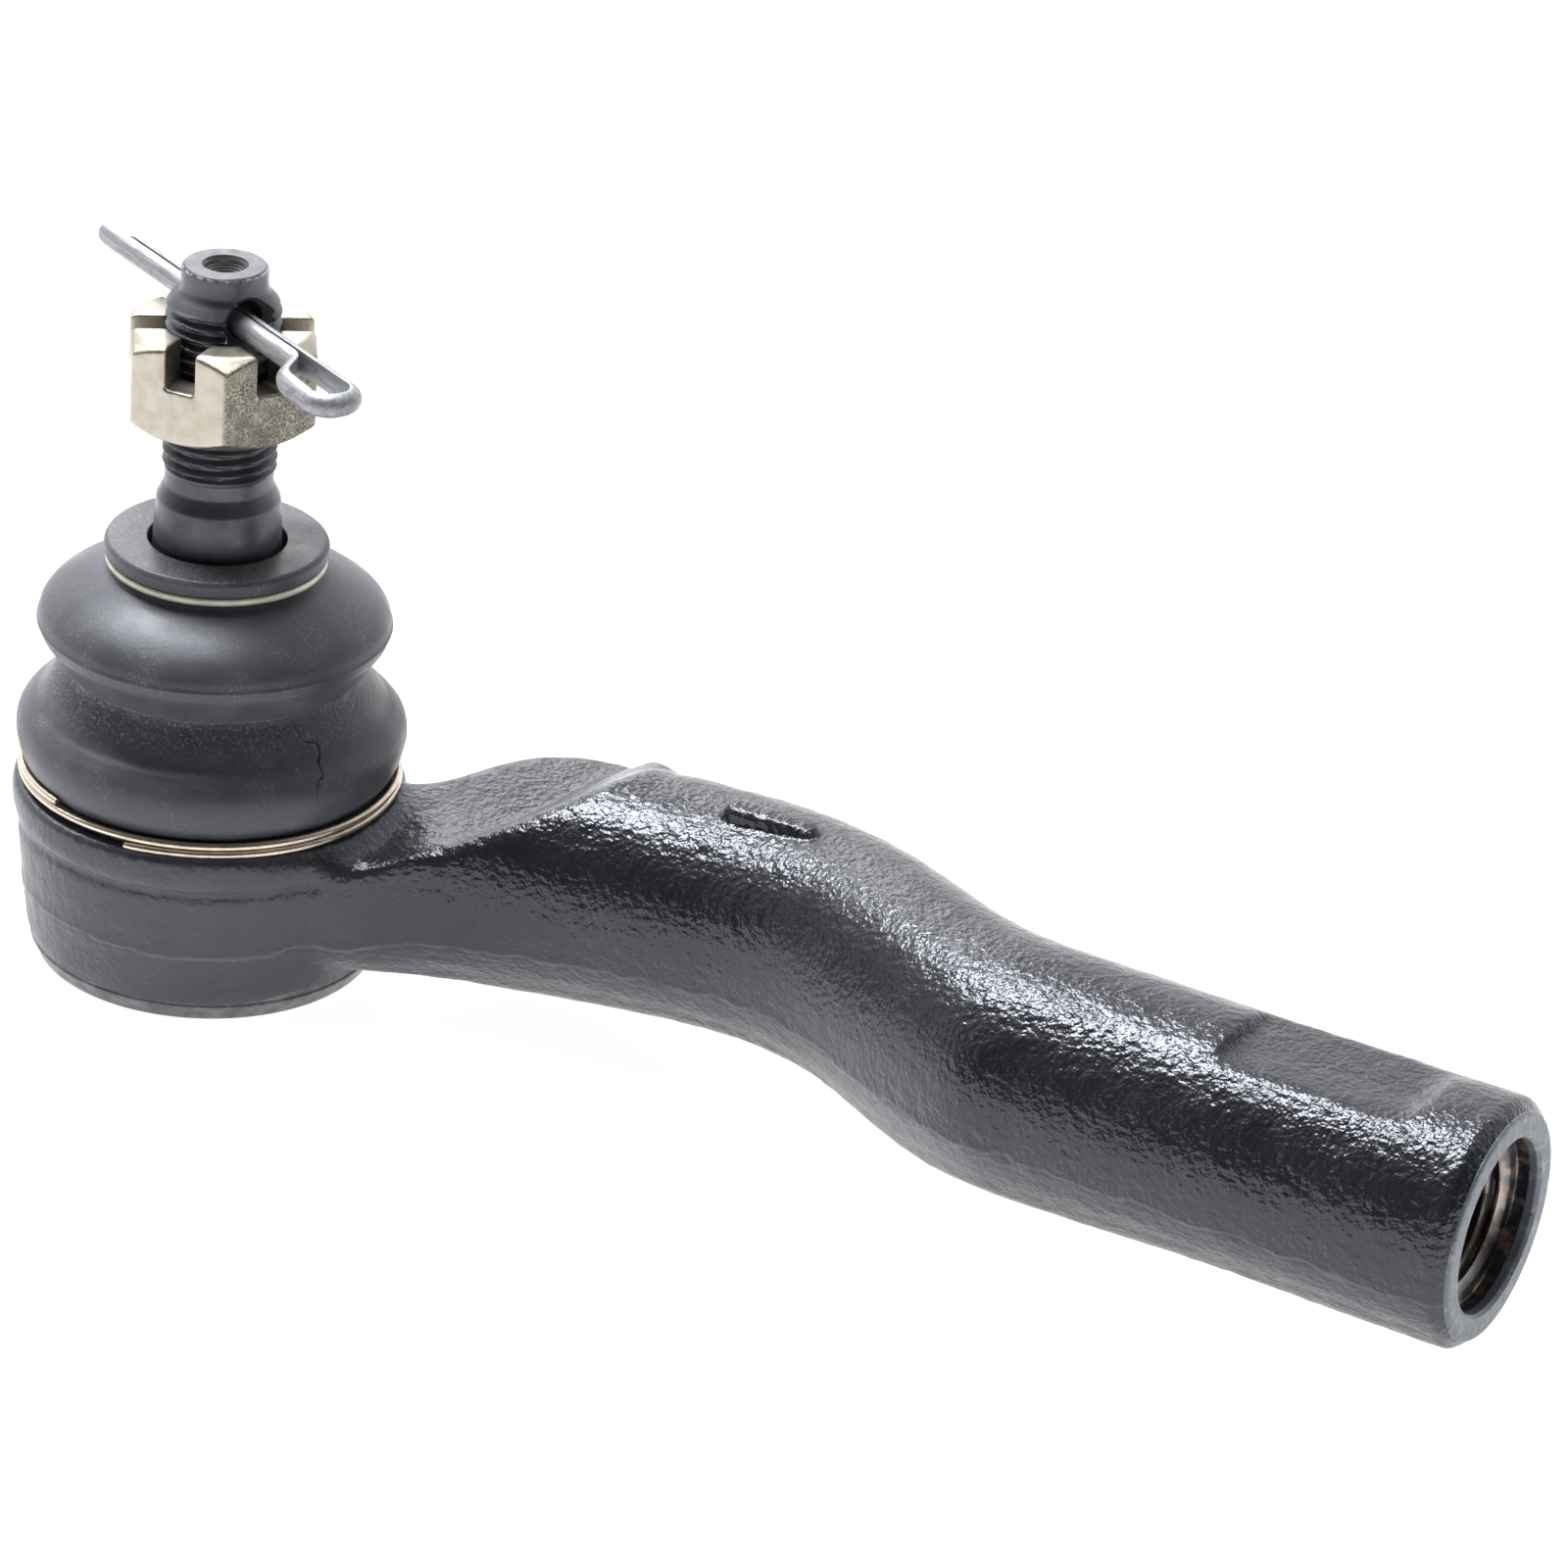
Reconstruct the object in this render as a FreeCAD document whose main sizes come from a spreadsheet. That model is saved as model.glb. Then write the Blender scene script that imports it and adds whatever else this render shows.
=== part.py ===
import FreeCAD, Part
import math
import os

import Sketcher
from FreeCAD import Placement, Rotation, Vector

# Tie rod end: a forged housing with a ball stud, its seats, cover, dust boot, castle nut and split pin.
# Millimetres. The origin is the ball's centre, +Z runs up the stud and +X along the housing's thread
# bore to its mouth. The arm bows towards +Y between the socket and the threaded tube.

ALONG_X = Rotation(Vector(0, 1, 0), 90)

doc = FreeCAD.newDocument("tie_rod_end")
sheet = doc.addObject("Spreadsheet::Sheet", "Sizes")

# alias, value
SIZES = [
    # ball and seats
    ("ball_radius", 11.0),
    ("seat_play", 0.05),
    ("seat_outer_radius", 14.57),
    ("upper_seat_base", -0.15),
    ("upper_seat_shoulder", 2.07),
    ("upper_seat_top", 4.5),
    ("upper_seat_top_radius", 11.33),
    ("lower_seat_top", -0.35),
    ("lower_seat_shoulder", -13.1),
    ("lower_seat_base", -14.1),
    ("lower_seat_base_radius", 13.6),
    ("grease_hole_radius", 2.5),
    # ball stud, from the neck up
    ("neck_radius", 5.3),
    ("neck_top", 12.5),
    ("taper_base", 20.5),
    ("taper_base_radius", 7.375),
    ("taper_top", 32.9),
    ("taper_top_radius", 6.6),
    ("land_radius", 6.33),
    ("land_top", 34.8),
    ("relief_radius", 5.6),
    ("relief_base", 35.7),
    ("relief_top", 37.4),
    ("thread_radius", 6.0),
    ("thread_top", 54.7),
    ("thread_lead_top", 55.7),
    ("thread_lead_radius", 5.6),
    ("dog_base", 57.7),
    ("dog_radius", 4.5),
    ("stud_top", 60.0),
    ("stud_top_edge", 0.35),
    ("ball_flat", -10.2),
    ("key_socket_flats", 4.0),
    ("key_socket_depth", 4.5),
    ("pin_hole_radius", 2.1),
    ("pin_hole_level", 55.3),
    ("pin_direction", -23.0),
    # castle nut
    ("nut_flats", 19.0),
    ("nut_base", 43.0),
    ("nut_height", 10.5),
    ("nut_bore_play", 0.02),
    ("nut_slot_width", 3.4),
    ("nut_slot_depth", 4.5),
    ("nut_edge_radius", 9.3),
    ("nut_edge_drop", 1.0),
    ("nut_chamfer_reach", 3.0),
    ("nut_chamfer_drop", 0.732),
    # split pin, measured from the stud's axis along the pin
    ("pin_wire_radius", 1.35),
    ("pin_leg_gap", 0.12),
    ("pin_level", 54.75),
    ("pin_rise_angle", -1.2),
    ("pin_long_leg", 23.0),
    ("pin_short_leg", 18.8),
    ("pin_eye_start", 15.2),
    ("pin_eye_widen", 3.0),
    ("pin_eye_end", 24.6),
    ("pin_eye_width", 3.7),
    ("pin_eye_bend", 1.7),
    # housing socket
    ("cavity_radius", 14.6),
    ("cavity_shoulder", 2.1),
    ("throat_radius", 10.6),
    ("throat_base", 5.1),
    ("throat_top", 5.5),
    ("mouth_radius", 11.2),
    ("boot_seat_radius", 17.6),
    ("socket_top", 6.5),
    ("rim_top", 1.7),
    ("rim_radius", 20.8),
    ("rim_edge", 0.5),
    ("rim_base", -0.9),
    ("collar_base", -2.4),
    ("body_top_radius", 20.35),
    ("body_low_radius", 19.25),
    ("body_low", -15.1),
    ("swage_radius", 18.8),
    ("swage_top", -16.5),
    ("socket_base_radius", 17.7),
    ("socket_base", -18.2),
    ("swage_mouth_radius", 14.4),
    ("cover_radius", 15.6),
    ("cover_top", -15.45),
    ("cover_base", -17.05),
    ("cover_play", 0.05),
    ("cover_dish_radius", 9.0),
    ("cover_dish_depth", 0.5),
    # preload spring, a coned washer
    ("spring_inner_radius", 6.0),
    ("spring_outer_radius", 11.6),
    ("spring_thickness", 0.7),
    ("spring_cone", 0.6),
    # arm and threaded tube
    ("tube_radius", 12.5),
    ("tube_start", 100.0),
    ("tube_blend", 3.0),
    ("tube_end", 151.7),
    ("tube_edge", 1.1),
    ("bore_radius", 7.19),
    ("bore_depth", 52.0),
    ("bore_mouth_radius", 8.95),
    ("bore_mouth_depth", 2.6),
    ("bore_point", 4.0),
    ("shelf_start", 5.0),
    ("shelf_level", 1.7),
    ("shelf_end", 33.0),
    ("shelf_run", 14.0),
    ("shelf_rise", 10.5),
    ("shelf_turn", -15.0),
    ("shelf_space_width", 120.0),
    ("flats_width", 22.0),
    ("flats_start", 122.5),
    ("flats_length", 20.5),
    ("lug_length", 9.5),
    ("lug_width", 2.6),
    ("lug_height", 8.0),
    ("lug_x", 60.9),
    ("lug_y", 12.8),
    ("lug_top", 10.3),
    # dust boot
    ("boot_wall", 1.5),
    ("boot_play", 0.12),
    ("boot_base", 1.78),
    ("boot_groove_radius", 19.3),
    ("boot_groove_top", 3.5),
    ("boot_low_radius", 20.6),
    ("boot_low_level", 7.4),
    ("boot_ridge_radius", 18.4),
    ("boot_ridge_level", 10.8),
    ("boot_waist_radius", 15.9),
    ("boot_waist_level", 14.8),
    ("boot_high_radius", 18.5),
    ("boot_high_level", 19.3),
    ("boot_shoulder_radius", 15.2),
    ("boot_shoulder_level", 23.9),
    ("boot_neck_radius", 10.6),
    ("boot_neck_level", 26.1),
    ("flange_radius", 11.8),
    ("flange_base", 27.5),
    ("flange_top", 29.3),
    ("flange_hole_radius", 7.7),
    ("lip_radius", 7.35),
    ("lip_base", 24.5),
    ("lip_chamfer_base", 28.1),
    # boot rings
    ("top_ring_radius", 11.3),
    ("top_ring_bore", 8.4),
    ("top_ring_base", 26.5),
    ("top_ring_thickness", 0.9),
    ("clip_wire_radius", 0.42),
    ("clip_radius", 19.76),
    ("clip_level", 2.2),
    ("clip_pitch", 0.8),
]

# Arm sections between the socket and the tube: distance along X, the near and far sides in Y,
# the underside and the top in Z, and how square the section is (2 is an ellipse).
ARM_SECTIONS = [
    (12.0, -9.5, 3.5, -14.2, 8.0, 3.2),
    (20.0, -7.7, 12.6, -14.6, 8.5, 3.2),
    (24.5, -4.3, 19.9, -15.8, 9.0, 3.0),
    (29.5, -1.3, 25.6, -16.9, 9.3, 2.6),
    (36.0, 0.5, 27.6, -17.2, 9.3, 2.3),
    (46.0, 2.0, 26.9, -16.4, 9.3, 2.1),
    (58.0, 2.9, 26.5, -15.3, 9.8, 2.1),
    (70.0, 1.1, 23.9, -14.4, 10.5, 2.2),
    (81.0, -4.4, 19.0, -14.1, 11.5, 2.2),
    (91.0, -9.7, 14.4, -13.4, 12.0, 2.1),
]
SECTION_POINTS = 20

for row, (alias, value) in enumerate(SIZES, start=1):
    sheet.set(f"A{row}", alias)
    sheet.set(f"B{row}", str(value))
    sheet.setAlias(f"B{row}", alias)
doc.recompute()


def size(alias):
    return float(getattr(sheet, alias))


def cell(expression):
    """Turn a formula of aliases into one that FreeCAD's expressions read."""
    words = []
    for word in expression.split():
        is_alias = word[0].isalpha()
        words.append(f"Sizes.{word}" if is_alias else word)
    return " ".join(words)


def value_of(expression):
    """Work the same formula out now, term by term: numbers and aliases joined by + and -."""
    total = 0.0
    sign = 1.0
    for word in expression.split():
        if word in "+-":
            sign = 1.0 if word == "+" else -1.0
        else:
            total += sign * (size(word) if word[0].isalpha() else float(word))
            sign = 1.0
    return total


def bind(item, prop, expression):
    item.setExpression(prop, cell(expression))


def origin_plane(body, role):
    return next(part for part in body.Origin.OriginFeatures if part.Role == role)


def outline_sketch(body, name, corners, role="XZ_Plane"):
    """A closed outline of straight lines whose corners are bound to the sheet."""
    sketch = body.newObject("Sketcher::SketchObject", name)
    sketch.AttachmentSupport = [(origin_plane(body, role), "")]
    sketch.MapMode = "FlatFace"
    spots = [Vector(value_of(across), value_of(up), 0) for across, up in corners]
    count = len(spots)
    for index, spot in enumerate(spots):
        sketch.addGeometry(Part.LineSegment(spot, spots[(index + 1) % count]), False)
    for index in range(count):
        sketch.addConstraint(Sketcher.Constraint("Coincident", index, 2, (index + 1) % count, 1))
    for index, (across, up) in enumerate(corners):
        for kind, expression in (("DistanceX", across), ("DistanceY", up)):
            number = sketch.addConstraint(
                Sketcher.Constraint(kind, -1, 1, index, 1, value_of(expression))
            )
            bind(sketch, f"Constraints[{number}]", expression)
    return sketch


def turned(name, corners):
    """A body turned about Z from (radius, level) corners."""
    body = doc.addObject("PartDesign::Body", name)
    sketch = outline_sketch(body, f"{name}_outline", corners)
    turn = body.newObject("PartDesign::Revolution", f"{name}_turn")
    turn.Profile = sketch
    turn.ReferenceAxis = (sketch, ["V_Axis"])
    turn.Angle = 360.0
    body.Tip = turn
    return body


def cylinder(name, radius, height, placement=None):
    item = doc.addObject("Part::Cylinder", name)
    bind(item, "Radius", radius)
    bind(item, "Height", height)
    item.Placement = placement or Placement()
    return item


def sphere(name, radius):
    item = doc.addObject("Part::Sphere", name)
    bind(item, "Radius", radius)
    return item


def box(name, length, width, height):
    item = doc.addObject("Part::Box", name)
    for prop, expression in (("Length", length), ("Width", width), ("Height", height)):
        bind(item, prop, expression)
    return item


def fuse(name, items):
    joined = doc.addObject("Part::MultiFuse", name)
    joined.Shapes = items
    return joined


def cut(name, base, *tools):
    """The base less each tool in turn; only the last cut keeps the plain name."""
    result = base
    for number, tool in enumerate(tools, start=1):
        step_name = name if number == len(tools) else f"{name}_cut_{number}"
        step = doc.addObject("Part::Cut", step_name)
        step.Base = result
        step.Tool = tool
        result = step
    return result


def section_wire(x, near, far, low, high, squareness):
    """A closed smooth section across X, between its four extremes."""
    points = []
    for step in range(SECTION_POINTS):
        angle = 2 * math.pi * step / SECTION_POINTS
        across = math.copysign(abs(math.cos(angle)) ** (2 / squareness), math.cos(angle))
        up = math.copysign(abs(math.sin(angle)) ** (2 / squareness), math.sin(angle))
        y = (near + far) / 2 + across * (far - near) / 2
        z = (low + high) / 2 + up * (high - low) / 2
        points.append(Vector(x, y, z))
    curve = Part.BSplineCurve()
    curve.interpolate(points, PeriodicFlag=True)
    return Part.Wire([curve.toShape()])


def round_section(x):
    """The tube's round section, starting at its far side like the arm's own sections."""
    circle = Part.Circle(Vector(), Vector(0, 0, 1), size("tube_radius"))
    wire = Part.Wire([circle.toShape()])
    across_x = Rotation(Vector(0, 1, 0), Vector(0, 0, 1), Vector(1, 0, 0))
    wire.Placement = Placement(Vector(x, 0, 0), across_x)
    return wire


def make_arm():
    """The bowed arm, as one loft through its sections into the round of the tube."""
    wires = [section_wire(*section) for section in ARM_SECTIONS]
    for step in range(3):
        wires.append(round_section(size("tube_start") + step * size("tube_blend")))
    arm = doc.addObject("Part::Feature", "arm_loft")
    arm.Shape = Part.makeLoft(wires, True, False, False)
    return arm


def make_tube():
    """The round tube beyond the arm, turned about X with its chamfered end and two wrench flats."""
    body = doc.addObject("PartDesign::Body", "tube_blank")
    start = "tube_start + tube_blend + tube_blend"
    corners = [
        (start, "0"),
        ("tube_end", "0"),
        ("tube_end", "tube_radius - tube_edge"),
        ("tube_end - tube_edge", "tube_radius"),
        (start, "tube_radius"),
    ]
    sketch = outline_sketch(body, "tube_outline", corners)
    turn = body.newObject("PartDesign::Revolution", "tube_turn")
    turn.Profile = sketch
    turn.ReferenceAxis = (sketch, ["H_Axis"])
    turn.Angle = 360.0
    body.Tip = turn
    return cut("tube", body, *make_flats())


def make_shelf_cutter():
    """The space over the flat shelf beside the socket, with its sloping end set askew."""
    body = doc.addObject("PartDesign::Body", "shelf_space")
    corners = [
        ("shelf_start", "shelf_level"),
        ("shelf_end", "shelf_level"),
        ("shelf_end + shelf_run", "shelf_level + shelf_rise"),
        ("shelf_start", "shelf_level + shelf_rise"),
    ]
    sketch = outline_sketch(body, "shelf_outline", corners)
    pad = body.newObject("PartDesign::Pad", "shelf_pad")
    pad.Profile = sketch
    pad.Midplane = True
    bind(pad, "Length", "shelf_space_width")
    body.Tip = pad
    askew = Rotation(Vector(0, 0, 1), size("shelf_turn"))
    body.Placement = Placement(Vector(), askew, Vector(size("shelf_end"), size("lug_y"), 0))
    return body


def make_flats():
    """The space outside the two wrench flats of the tube, above and below."""
    blocks = []
    for side, name in ((1, "upper_flat_space"), (-1, "lower_flat_space")):
        block = box(name, "flats_length", "tube_radius + tube_radius", "tube_radius")
        low = size("flats_width") / 2 if side > 0 else -size("flats_width") / 2 - size("tube_radius")
        block.Placement = Placement(Vector(size("flats_start"), -size("tube_radius"), low), Rotation())
        blocks.append(block)
    return blocks


def make_bore():
    """The thread's core hole with its drill point and its plain mouth."""
    depth = size("bore_depth")
    end = size("tube_end")
    core = cylinder("bore_core", "bore_radius", "bore_depth", Placement(Vector(end - depth, 0, 0), ALONG_X))
    mouth = cylinder(
        "bore_mouth",
        "bore_mouth_radius",
        "bore_mouth_depth",
        Placement(Vector(end - size("bore_mouth_depth"), 0, 0), ALONG_X),
    )
    point = doc.addObject("Part::Cone", "bore_point_cone")
    point.Radius1 = 0.0
    bind(point, "Radius2", "bore_radius")
    bind(point, "Height", "bore_point")
    point.Placement = Placement(Vector(end - depth - size("bore_point"), 0, 0), ALONG_X)
    return [core, mouth, point]


def make_lug():
    """A plain raised locating bar forged on top of the arm."""
    lug = box("locating_bar", "lug_length", "lug_width", "lug_height")
    corner = Vector(size("lug_x") - size("lug_length") / 2, size("lug_y") - size("lug_width") / 2, 0)
    corner.z = size("lug_top") - size("lug_height")
    lug.Placement = Placement(corner, Rotation())
    return lug


def make_housing():
    blank = turned(
        "socket_blank",
        [
            ("0", "socket_base"),
            ("socket_base_radius", "socket_base"),
            ("swage_radius", "swage_top"),
            ("body_low_radius", "body_low"),
            ("body_top_radius", "collar_base"),
            ("rim_radius", "rim_base"),
            ("rim_radius", "rim_top - rim_edge"),
            ("rim_radius - rim_edge", "rim_top"),
            ("boot_seat_radius", "rim_top"),
            ("boot_seat_radius", "socket_top - rim_edge"),
            ("boot_seat_radius - rim_edge", "socket_top"),
            ("0", "socket_top"),
        ],
    )
    cavity = turned(
        "socket_cavity",
        [
            ("0", "socket_base - 1"),
            ("swage_mouth_radius", "socket_base - 1"),
            ("swage_mouth_radius", "cover_base - cover_play"),
            ("cover_radius + cover_play", "cover_base - cover_play"),
            ("cover_radius + cover_play", "cover_top"),
            ("cavity_radius", "cover_top"),
            ("cavity_radius", "cavity_shoulder"),
            ("throat_radius", "throat_base"),
            ("throat_radius", "throat_top"),
            ("mouth_radius", "socket_top"),
            ("mouth_radius", "socket_top + 1"),
            ("0", "socket_top + 1"),
        ],
    )
    arm = cut("arm", make_arm(), make_shelf_cutter())
    whole = fuse("housing_forging", [blank, arm, make_tube(), make_lug()])
    return cut("housing", whole, cavity, *make_bore())


def make_ball_stud():
    shank = turned(
        "stud_shank",
        [
            ("0", "0"),
            ("neck_radius", "0"),
            ("neck_radius", "neck_top"),
            ("taper_base_radius", "taper_base - 1"),
            ("taper_base_radius", "taper_base"),
            ("taper_top_radius", "taper_top"),
            ("land_radius", "taper_top"),
            ("land_radius", "land_top"),
            ("relief_radius", "relief_base"),
            ("relief_radius", "relief_top"),
            ("thread_radius", "relief_top"),
            ("thread_radius", "thread_top"),
            ("thread_lead_radius", "thread_lead_top"),
            ("dog_radius", "dog_base"),
            ("dog_radius", "stud_top - stud_top_edge"),
            ("dog_radius - stud_top_edge", "stud_top"),
            ("0", "stud_top"),
        ],
    )
    solid = fuse("stud_solid", [shank, sphere("stud_ball", "ball_radius")])
    below_ball = cylinder("ball_flat_space", "ball_radius", "ball_radius")
    below_ball.Placement = Placement(Vector(0, 0, size("ball_flat") - size("ball_radius")), Rotation())
    key = doc.addObject("Part::Prism", "key_socket")
    key.Polygon = 6
    bind(key, "Circumradius", "key_socket_flats / 3 ^ 0.5")
    bind(key, "Height", "key_socket_depth + 1")
    key.Placement = Placement(Vector(0, 0, size("stud_top") - size("key_socket_depth")), Rotation())
    hole = cylinder("pin_hole", "pin_hole_radius", "ball_radius + ball_radius")
    along_pin = Rotation(Vector(0, 0, 1), size("pin_direction")) * ALONG_X
    start = along_pin.multVec(Vector(0, 0, -size("ball_radius")))
    hole.Placement = Placement(start + Vector(0, 0, size("pin_hole_level")), along_pin)
    return cut("ball_stud", solid, below_ball, key, hole)


def make_seats():
    upper = turned(
        "upper_seat_blank",
        [
            ("0", "upper_seat_base"),
            ("seat_outer_radius", "upper_seat_base"),
            ("seat_outer_radius", "upper_seat_shoulder"),
            ("upper_seat_top_radius", "upper_seat_top"),
            ("0", "upper_seat_top"),
        ],
    )
    lower = turned(
        "lower_seat_blank",
        [
            ("grease_hole_radius", "lower_seat_base"),
            ("lower_seat_base_radius", "lower_seat_base"),
            ("seat_outer_radius", "lower_seat_shoulder"),
            ("seat_outer_radius", "lower_seat_top"),
            ("grease_hole_radius", "lower_seat_top"),
        ],
    )
    seats = [cut("upper_seat", upper, sphere("upper_seat_ball", "ball_radius + seat_play"))]
    seats.append(cut("lower_seat", lower, sphere("lower_seat_ball", "ball_radius + seat_play")))
    return seats


def make_spring():
    return turned(
        "preload_spring",
        [
            ("spring_inner_radius", "cover_top"),
            ("spring_outer_radius", "cover_top + spring_cone"),
            ("spring_outer_radius", "cover_top + spring_cone + spring_thickness"),
            ("spring_inner_radius", "cover_top + spring_thickness"),
        ],
    )


def make_end_cover():
    return turned(
        "end_cover",
        [
            ("0", "cover_base + cover_dish_depth"),
            ("cover_dish_radius", "cover_base + cover_dish_depth"),
            ("cover_dish_radius + cover_dish_depth", "cover_base"),
            ("cover_radius", "cover_base"),
            ("cover_radius", "cover_top"),
            ("0", "cover_top"),
        ],
    )


def make_dust_boot():
    """A closed bellows shell: smooth folds outside and inside, between its lower lip and its flange."""
    wall = size("boot_wall")
    inner_seat = size("boot_seat_radius") + size("boot_play")
    folds = [
        (size("boot_groove_radius") + 0.5, size("boot_groove_top") + 0.4),
        (size("boot_low_radius"), size("boot_low_level")),
        (size("boot_ridge_radius"), size("boot_ridge_level")),
        (size("boot_waist_radius"), size("boot_waist_level")),
        (size("boot_high_radius"), size("boot_high_level")),
        (size("boot_shoulder_radius"), size("boot_shoulder_level")),
        (size("boot_neck_radius"), size("boot_neck_level")),
    ]
    inner_folds = [(radius - wall, level) for radius, level in folds[1:5]]
    inner_folds.append((size("boot_shoulder_radius") - wall, size("boot_shoulder_level") - wall / 2))

    def spot(radius, level):
        return Vector(radius, 0, level)

    def smooth(points):
        curve = Part.BSplineCurve()
        curve.interpolate([spot(*point) for point in points])
        return curve.toShape()

    def straight(points):
        return [
            Part.LineSegment(spot(*start), spot(*end)).toShape() for start, end in zip(points, points[1:])
        ]

    inner_start = (inner_seat, size("boot_groove_top") + wall)
    inner_end = (size("lip_radius") + wall, size("lip_base"))
    outside_low = [
        (inner_seat, size("boot_base")),
        (size("boot_groove_radius"), size("boot_base")),
        (size("boot_groove_radius"), size("boot_groove_top")),
        folds[0],
    ]
    outside_high = [
        folds[-1],
        (size("boot_neck_radius"), size("top_ring_base")),
        (size("top_ring_bore"), size("top_ring_base")),
        (size("top_ring_bore"), size("flange_base")),
        (size("flange_radius"), size("flange_base")),
        (size("flange_radius"), size("flange_top") - size("rim_edge")),
        (size("flange_radius") - size("rim_edge"), size("flange_top")),
        (size("flange_hole_radius"), size("flange_top")),
        (size("lip_radius"), size("lip_chamfer_base")),
        (size("lip_radius"), size("lip_base")),
        inner_end,
    ]
    edges = straight(outside_low) + [smooth(folds)] + straight(outside_high)
    edges.append(smooth([inner_end] + inner_folds[::-1] + [inner_start]))
    edges += straight([inner_start, outside_low[0]])
    profile = Part.Face(Part.Wire(edges))
    boot = doc.addObject("Part::Feature", "dust_boot")
    boot.Shape = profile.revolve(Vector(0, 0, 0), Vector(0, 0, 1), 360)
    return boot


def make_top_ring():
    return turned(
        "boot_top_ring",
        [
            ("top_ring_bore + seat_play", "top_ring_base + seat_play"),
            ("top_ring_radius", "top_ring_base + seat_play"),
            ("top_ring_radius", "top_ring_base + top_ring_thickness"),
            ("top_ring_bore + seat_play", "top_ring_base + top_ring_thickness"),
        ],
    )


def make_wire_ring():
    """The spring clip round the boot's lower lip: two turns of wire side by side."""
    turns = []
    for number in range(2):
        turn = doc.addObject("Part::Torus", f"clip_turn_{number + 1}")
        bind(turn, "Radius1", "clip_radius")
        bind(turn, "Radius2", "clip_wire_radius")
        level = size("clip_level") + number * size("clip_pitch")
        turn.Placement = Placement(Vector(0, 0, level), Rotation())
        turns.append(turn)
    return fuse("boot_wire_ring", turns)


def make_castle_nut():
    """A hexagon nut with chamfered corners and three slots sawn across its crown."""
    hexagon = doc.addObject("Part::Prism", "nut_hexagon")
    hexagon.Polygon = 6
    bind(hexagon, "Circumradius", "nut_flats / 3 ^ 0.5")
    bind(hexagon, "Height", "nut_height")
    turn = Rotation(Vector(0, 0, 1), size("pin_direction") + 30)
    hexagon.Placement = Placement(Vector(0, 0, size("nut_base")), turn)
    # 30 degree chamfers, far enough out to clear the corners
    reach = "nut_edge_radius + nut_chamfer_reach"
    edges = turned(
        "nut_chamfers",
        [
            ("0", "nut_base"),
            ("nut_edge_radius", "nut_base"),
            (reach, "nut_base + nut_edge_drop + nut_chamfer_drop"),
            (reach, "nut_base + nut_height - nut_edge_drop - nut_chamfer_drop"),
            ("nut_edge_radius", "nut_base + nut_height"),
            ("0", "nut_base + nut_height"),
        ],
    )
    blank = doc.addObject("Part::MultiCommon", "nut_blank")
    blank.Shapes = [hexagon, edges]
    bore = cylinder("nut_bore", "thread_radius + nut_bore_play", "nut_height + 2")
    bore.Placement = Placement(Vector(0, 0, size("nut_base") - 1), Rotation())
    tools = [bore]
    for number in range(3):
        slot = box(f"nut_slot_{number + 1}", "nut_flats + nut_flats", "nut_slot_width", "nut_slot_depth + 1")
        turn = Rotation(Vector(0, 0, 1), size("pin_direction") + 60 * number)
        corner = turn.multVec(Vector(-size("nut_flats"), -size("nut_slot_width") / 2, 0))
        corner.z = size("nut_base") + size("nut_height") - size("nut_slot_depth")
        slot.Placement = Placement(corner, turn)
        tools.append(slot)
    return cut("castle_nut", blank, *tools)


def rounded_path(points, radius):
    """Straight runs joined by tangent arcs of one radius."""
    edges = []
    start = points[0]
    for before, corner, after in zip(points, points[1:], points[2:]):
        back = (before - corner).normalize()
        ahead = (after - corner).normalize()
        half_angle = back.getAngle(ahead) / 2
        reach = radius / math.tan(half_angle)
        first = corner + back * reach
        last = corner + ahead * reach
        centre = corner + (back + ahead).normalize() * (radius / math.sin(half_angle))
        middle = centre + (corner - centre).normalize() * radius
        edges.append(Part.LineSegment(start, first).toShape())
        edges.append(Part.Arc(first, middle, last).toShape())
        start = last
    edges.append(Part.LineSegment(start, points[-1]).toShape())
    return Part.Wire(edges)


def make_cotter_pin():
    """Half-round wire folded into an eye, with two straight legs of unequal length."""
    side = size("pin_leg_gap") / 2
    path = rounded_path(
        [
            Vector(-size("pin_long_leg"), -side, 0),
            Vector(size("pin_eye_start"), -side, 0),
            Vector(size("pin_eye_start") + size("pin_eye_widen"), -size("pin_eye_width"), 0),
            Vector(size("pin_eye_end"), -size("pin_eye_width"), 0),
            Vector(size("pin_eye_end"), side, 0),
            Vector(-size("pin_short_leg"), side, 0),
        ],
        size("pin_eye_bend"),
    )
    radius = size("pin_wire_radius")
    start = Vector(-size("pin_long_leg"), -side, 0)
    flat = Part.LineSegment(start + Vector(0, 0, radius), start - Vector(0, 0, radius)).toShape()
    top = start + Vector(0, 0, radius)
    round_side = Part.Arc(start - Vector(0, 0, radius), start - Vector(0, radius, 0), top).toShape()
    sweep = Part.BRepOffsetAPI.MakePipeShell(path)
    sweep.setBiNormalMode(Vector(0, 0, 1))
    sweep.add(Part.Wire([flat, round_side]), False, False)
    sweep.build()
    sweep.makeSolid()
    pin = doc.addObject("Part::Feature", "cotter_pin")
    pin.Shape = sweep.shape()
    turn = Rotation(Vector(0, 0, 1), size("pin_direction"))
    rise = Rotation(Vector(0, 1, 0), -size("pin_rise_angle"))
    pin.Placement = Placement(Vector(0, 0, size("pin_level")), turn * rise)
    return pin


subparts = [make_housing(), make_ball_stud(), *make_seats(), make_spring(), make_end_cover()]
subparts += [make_dust_boot(), make_top_ring(), make_wire_ring(), make_castle_nut(), make_cotter_pin()]
doc.recompute()

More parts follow.
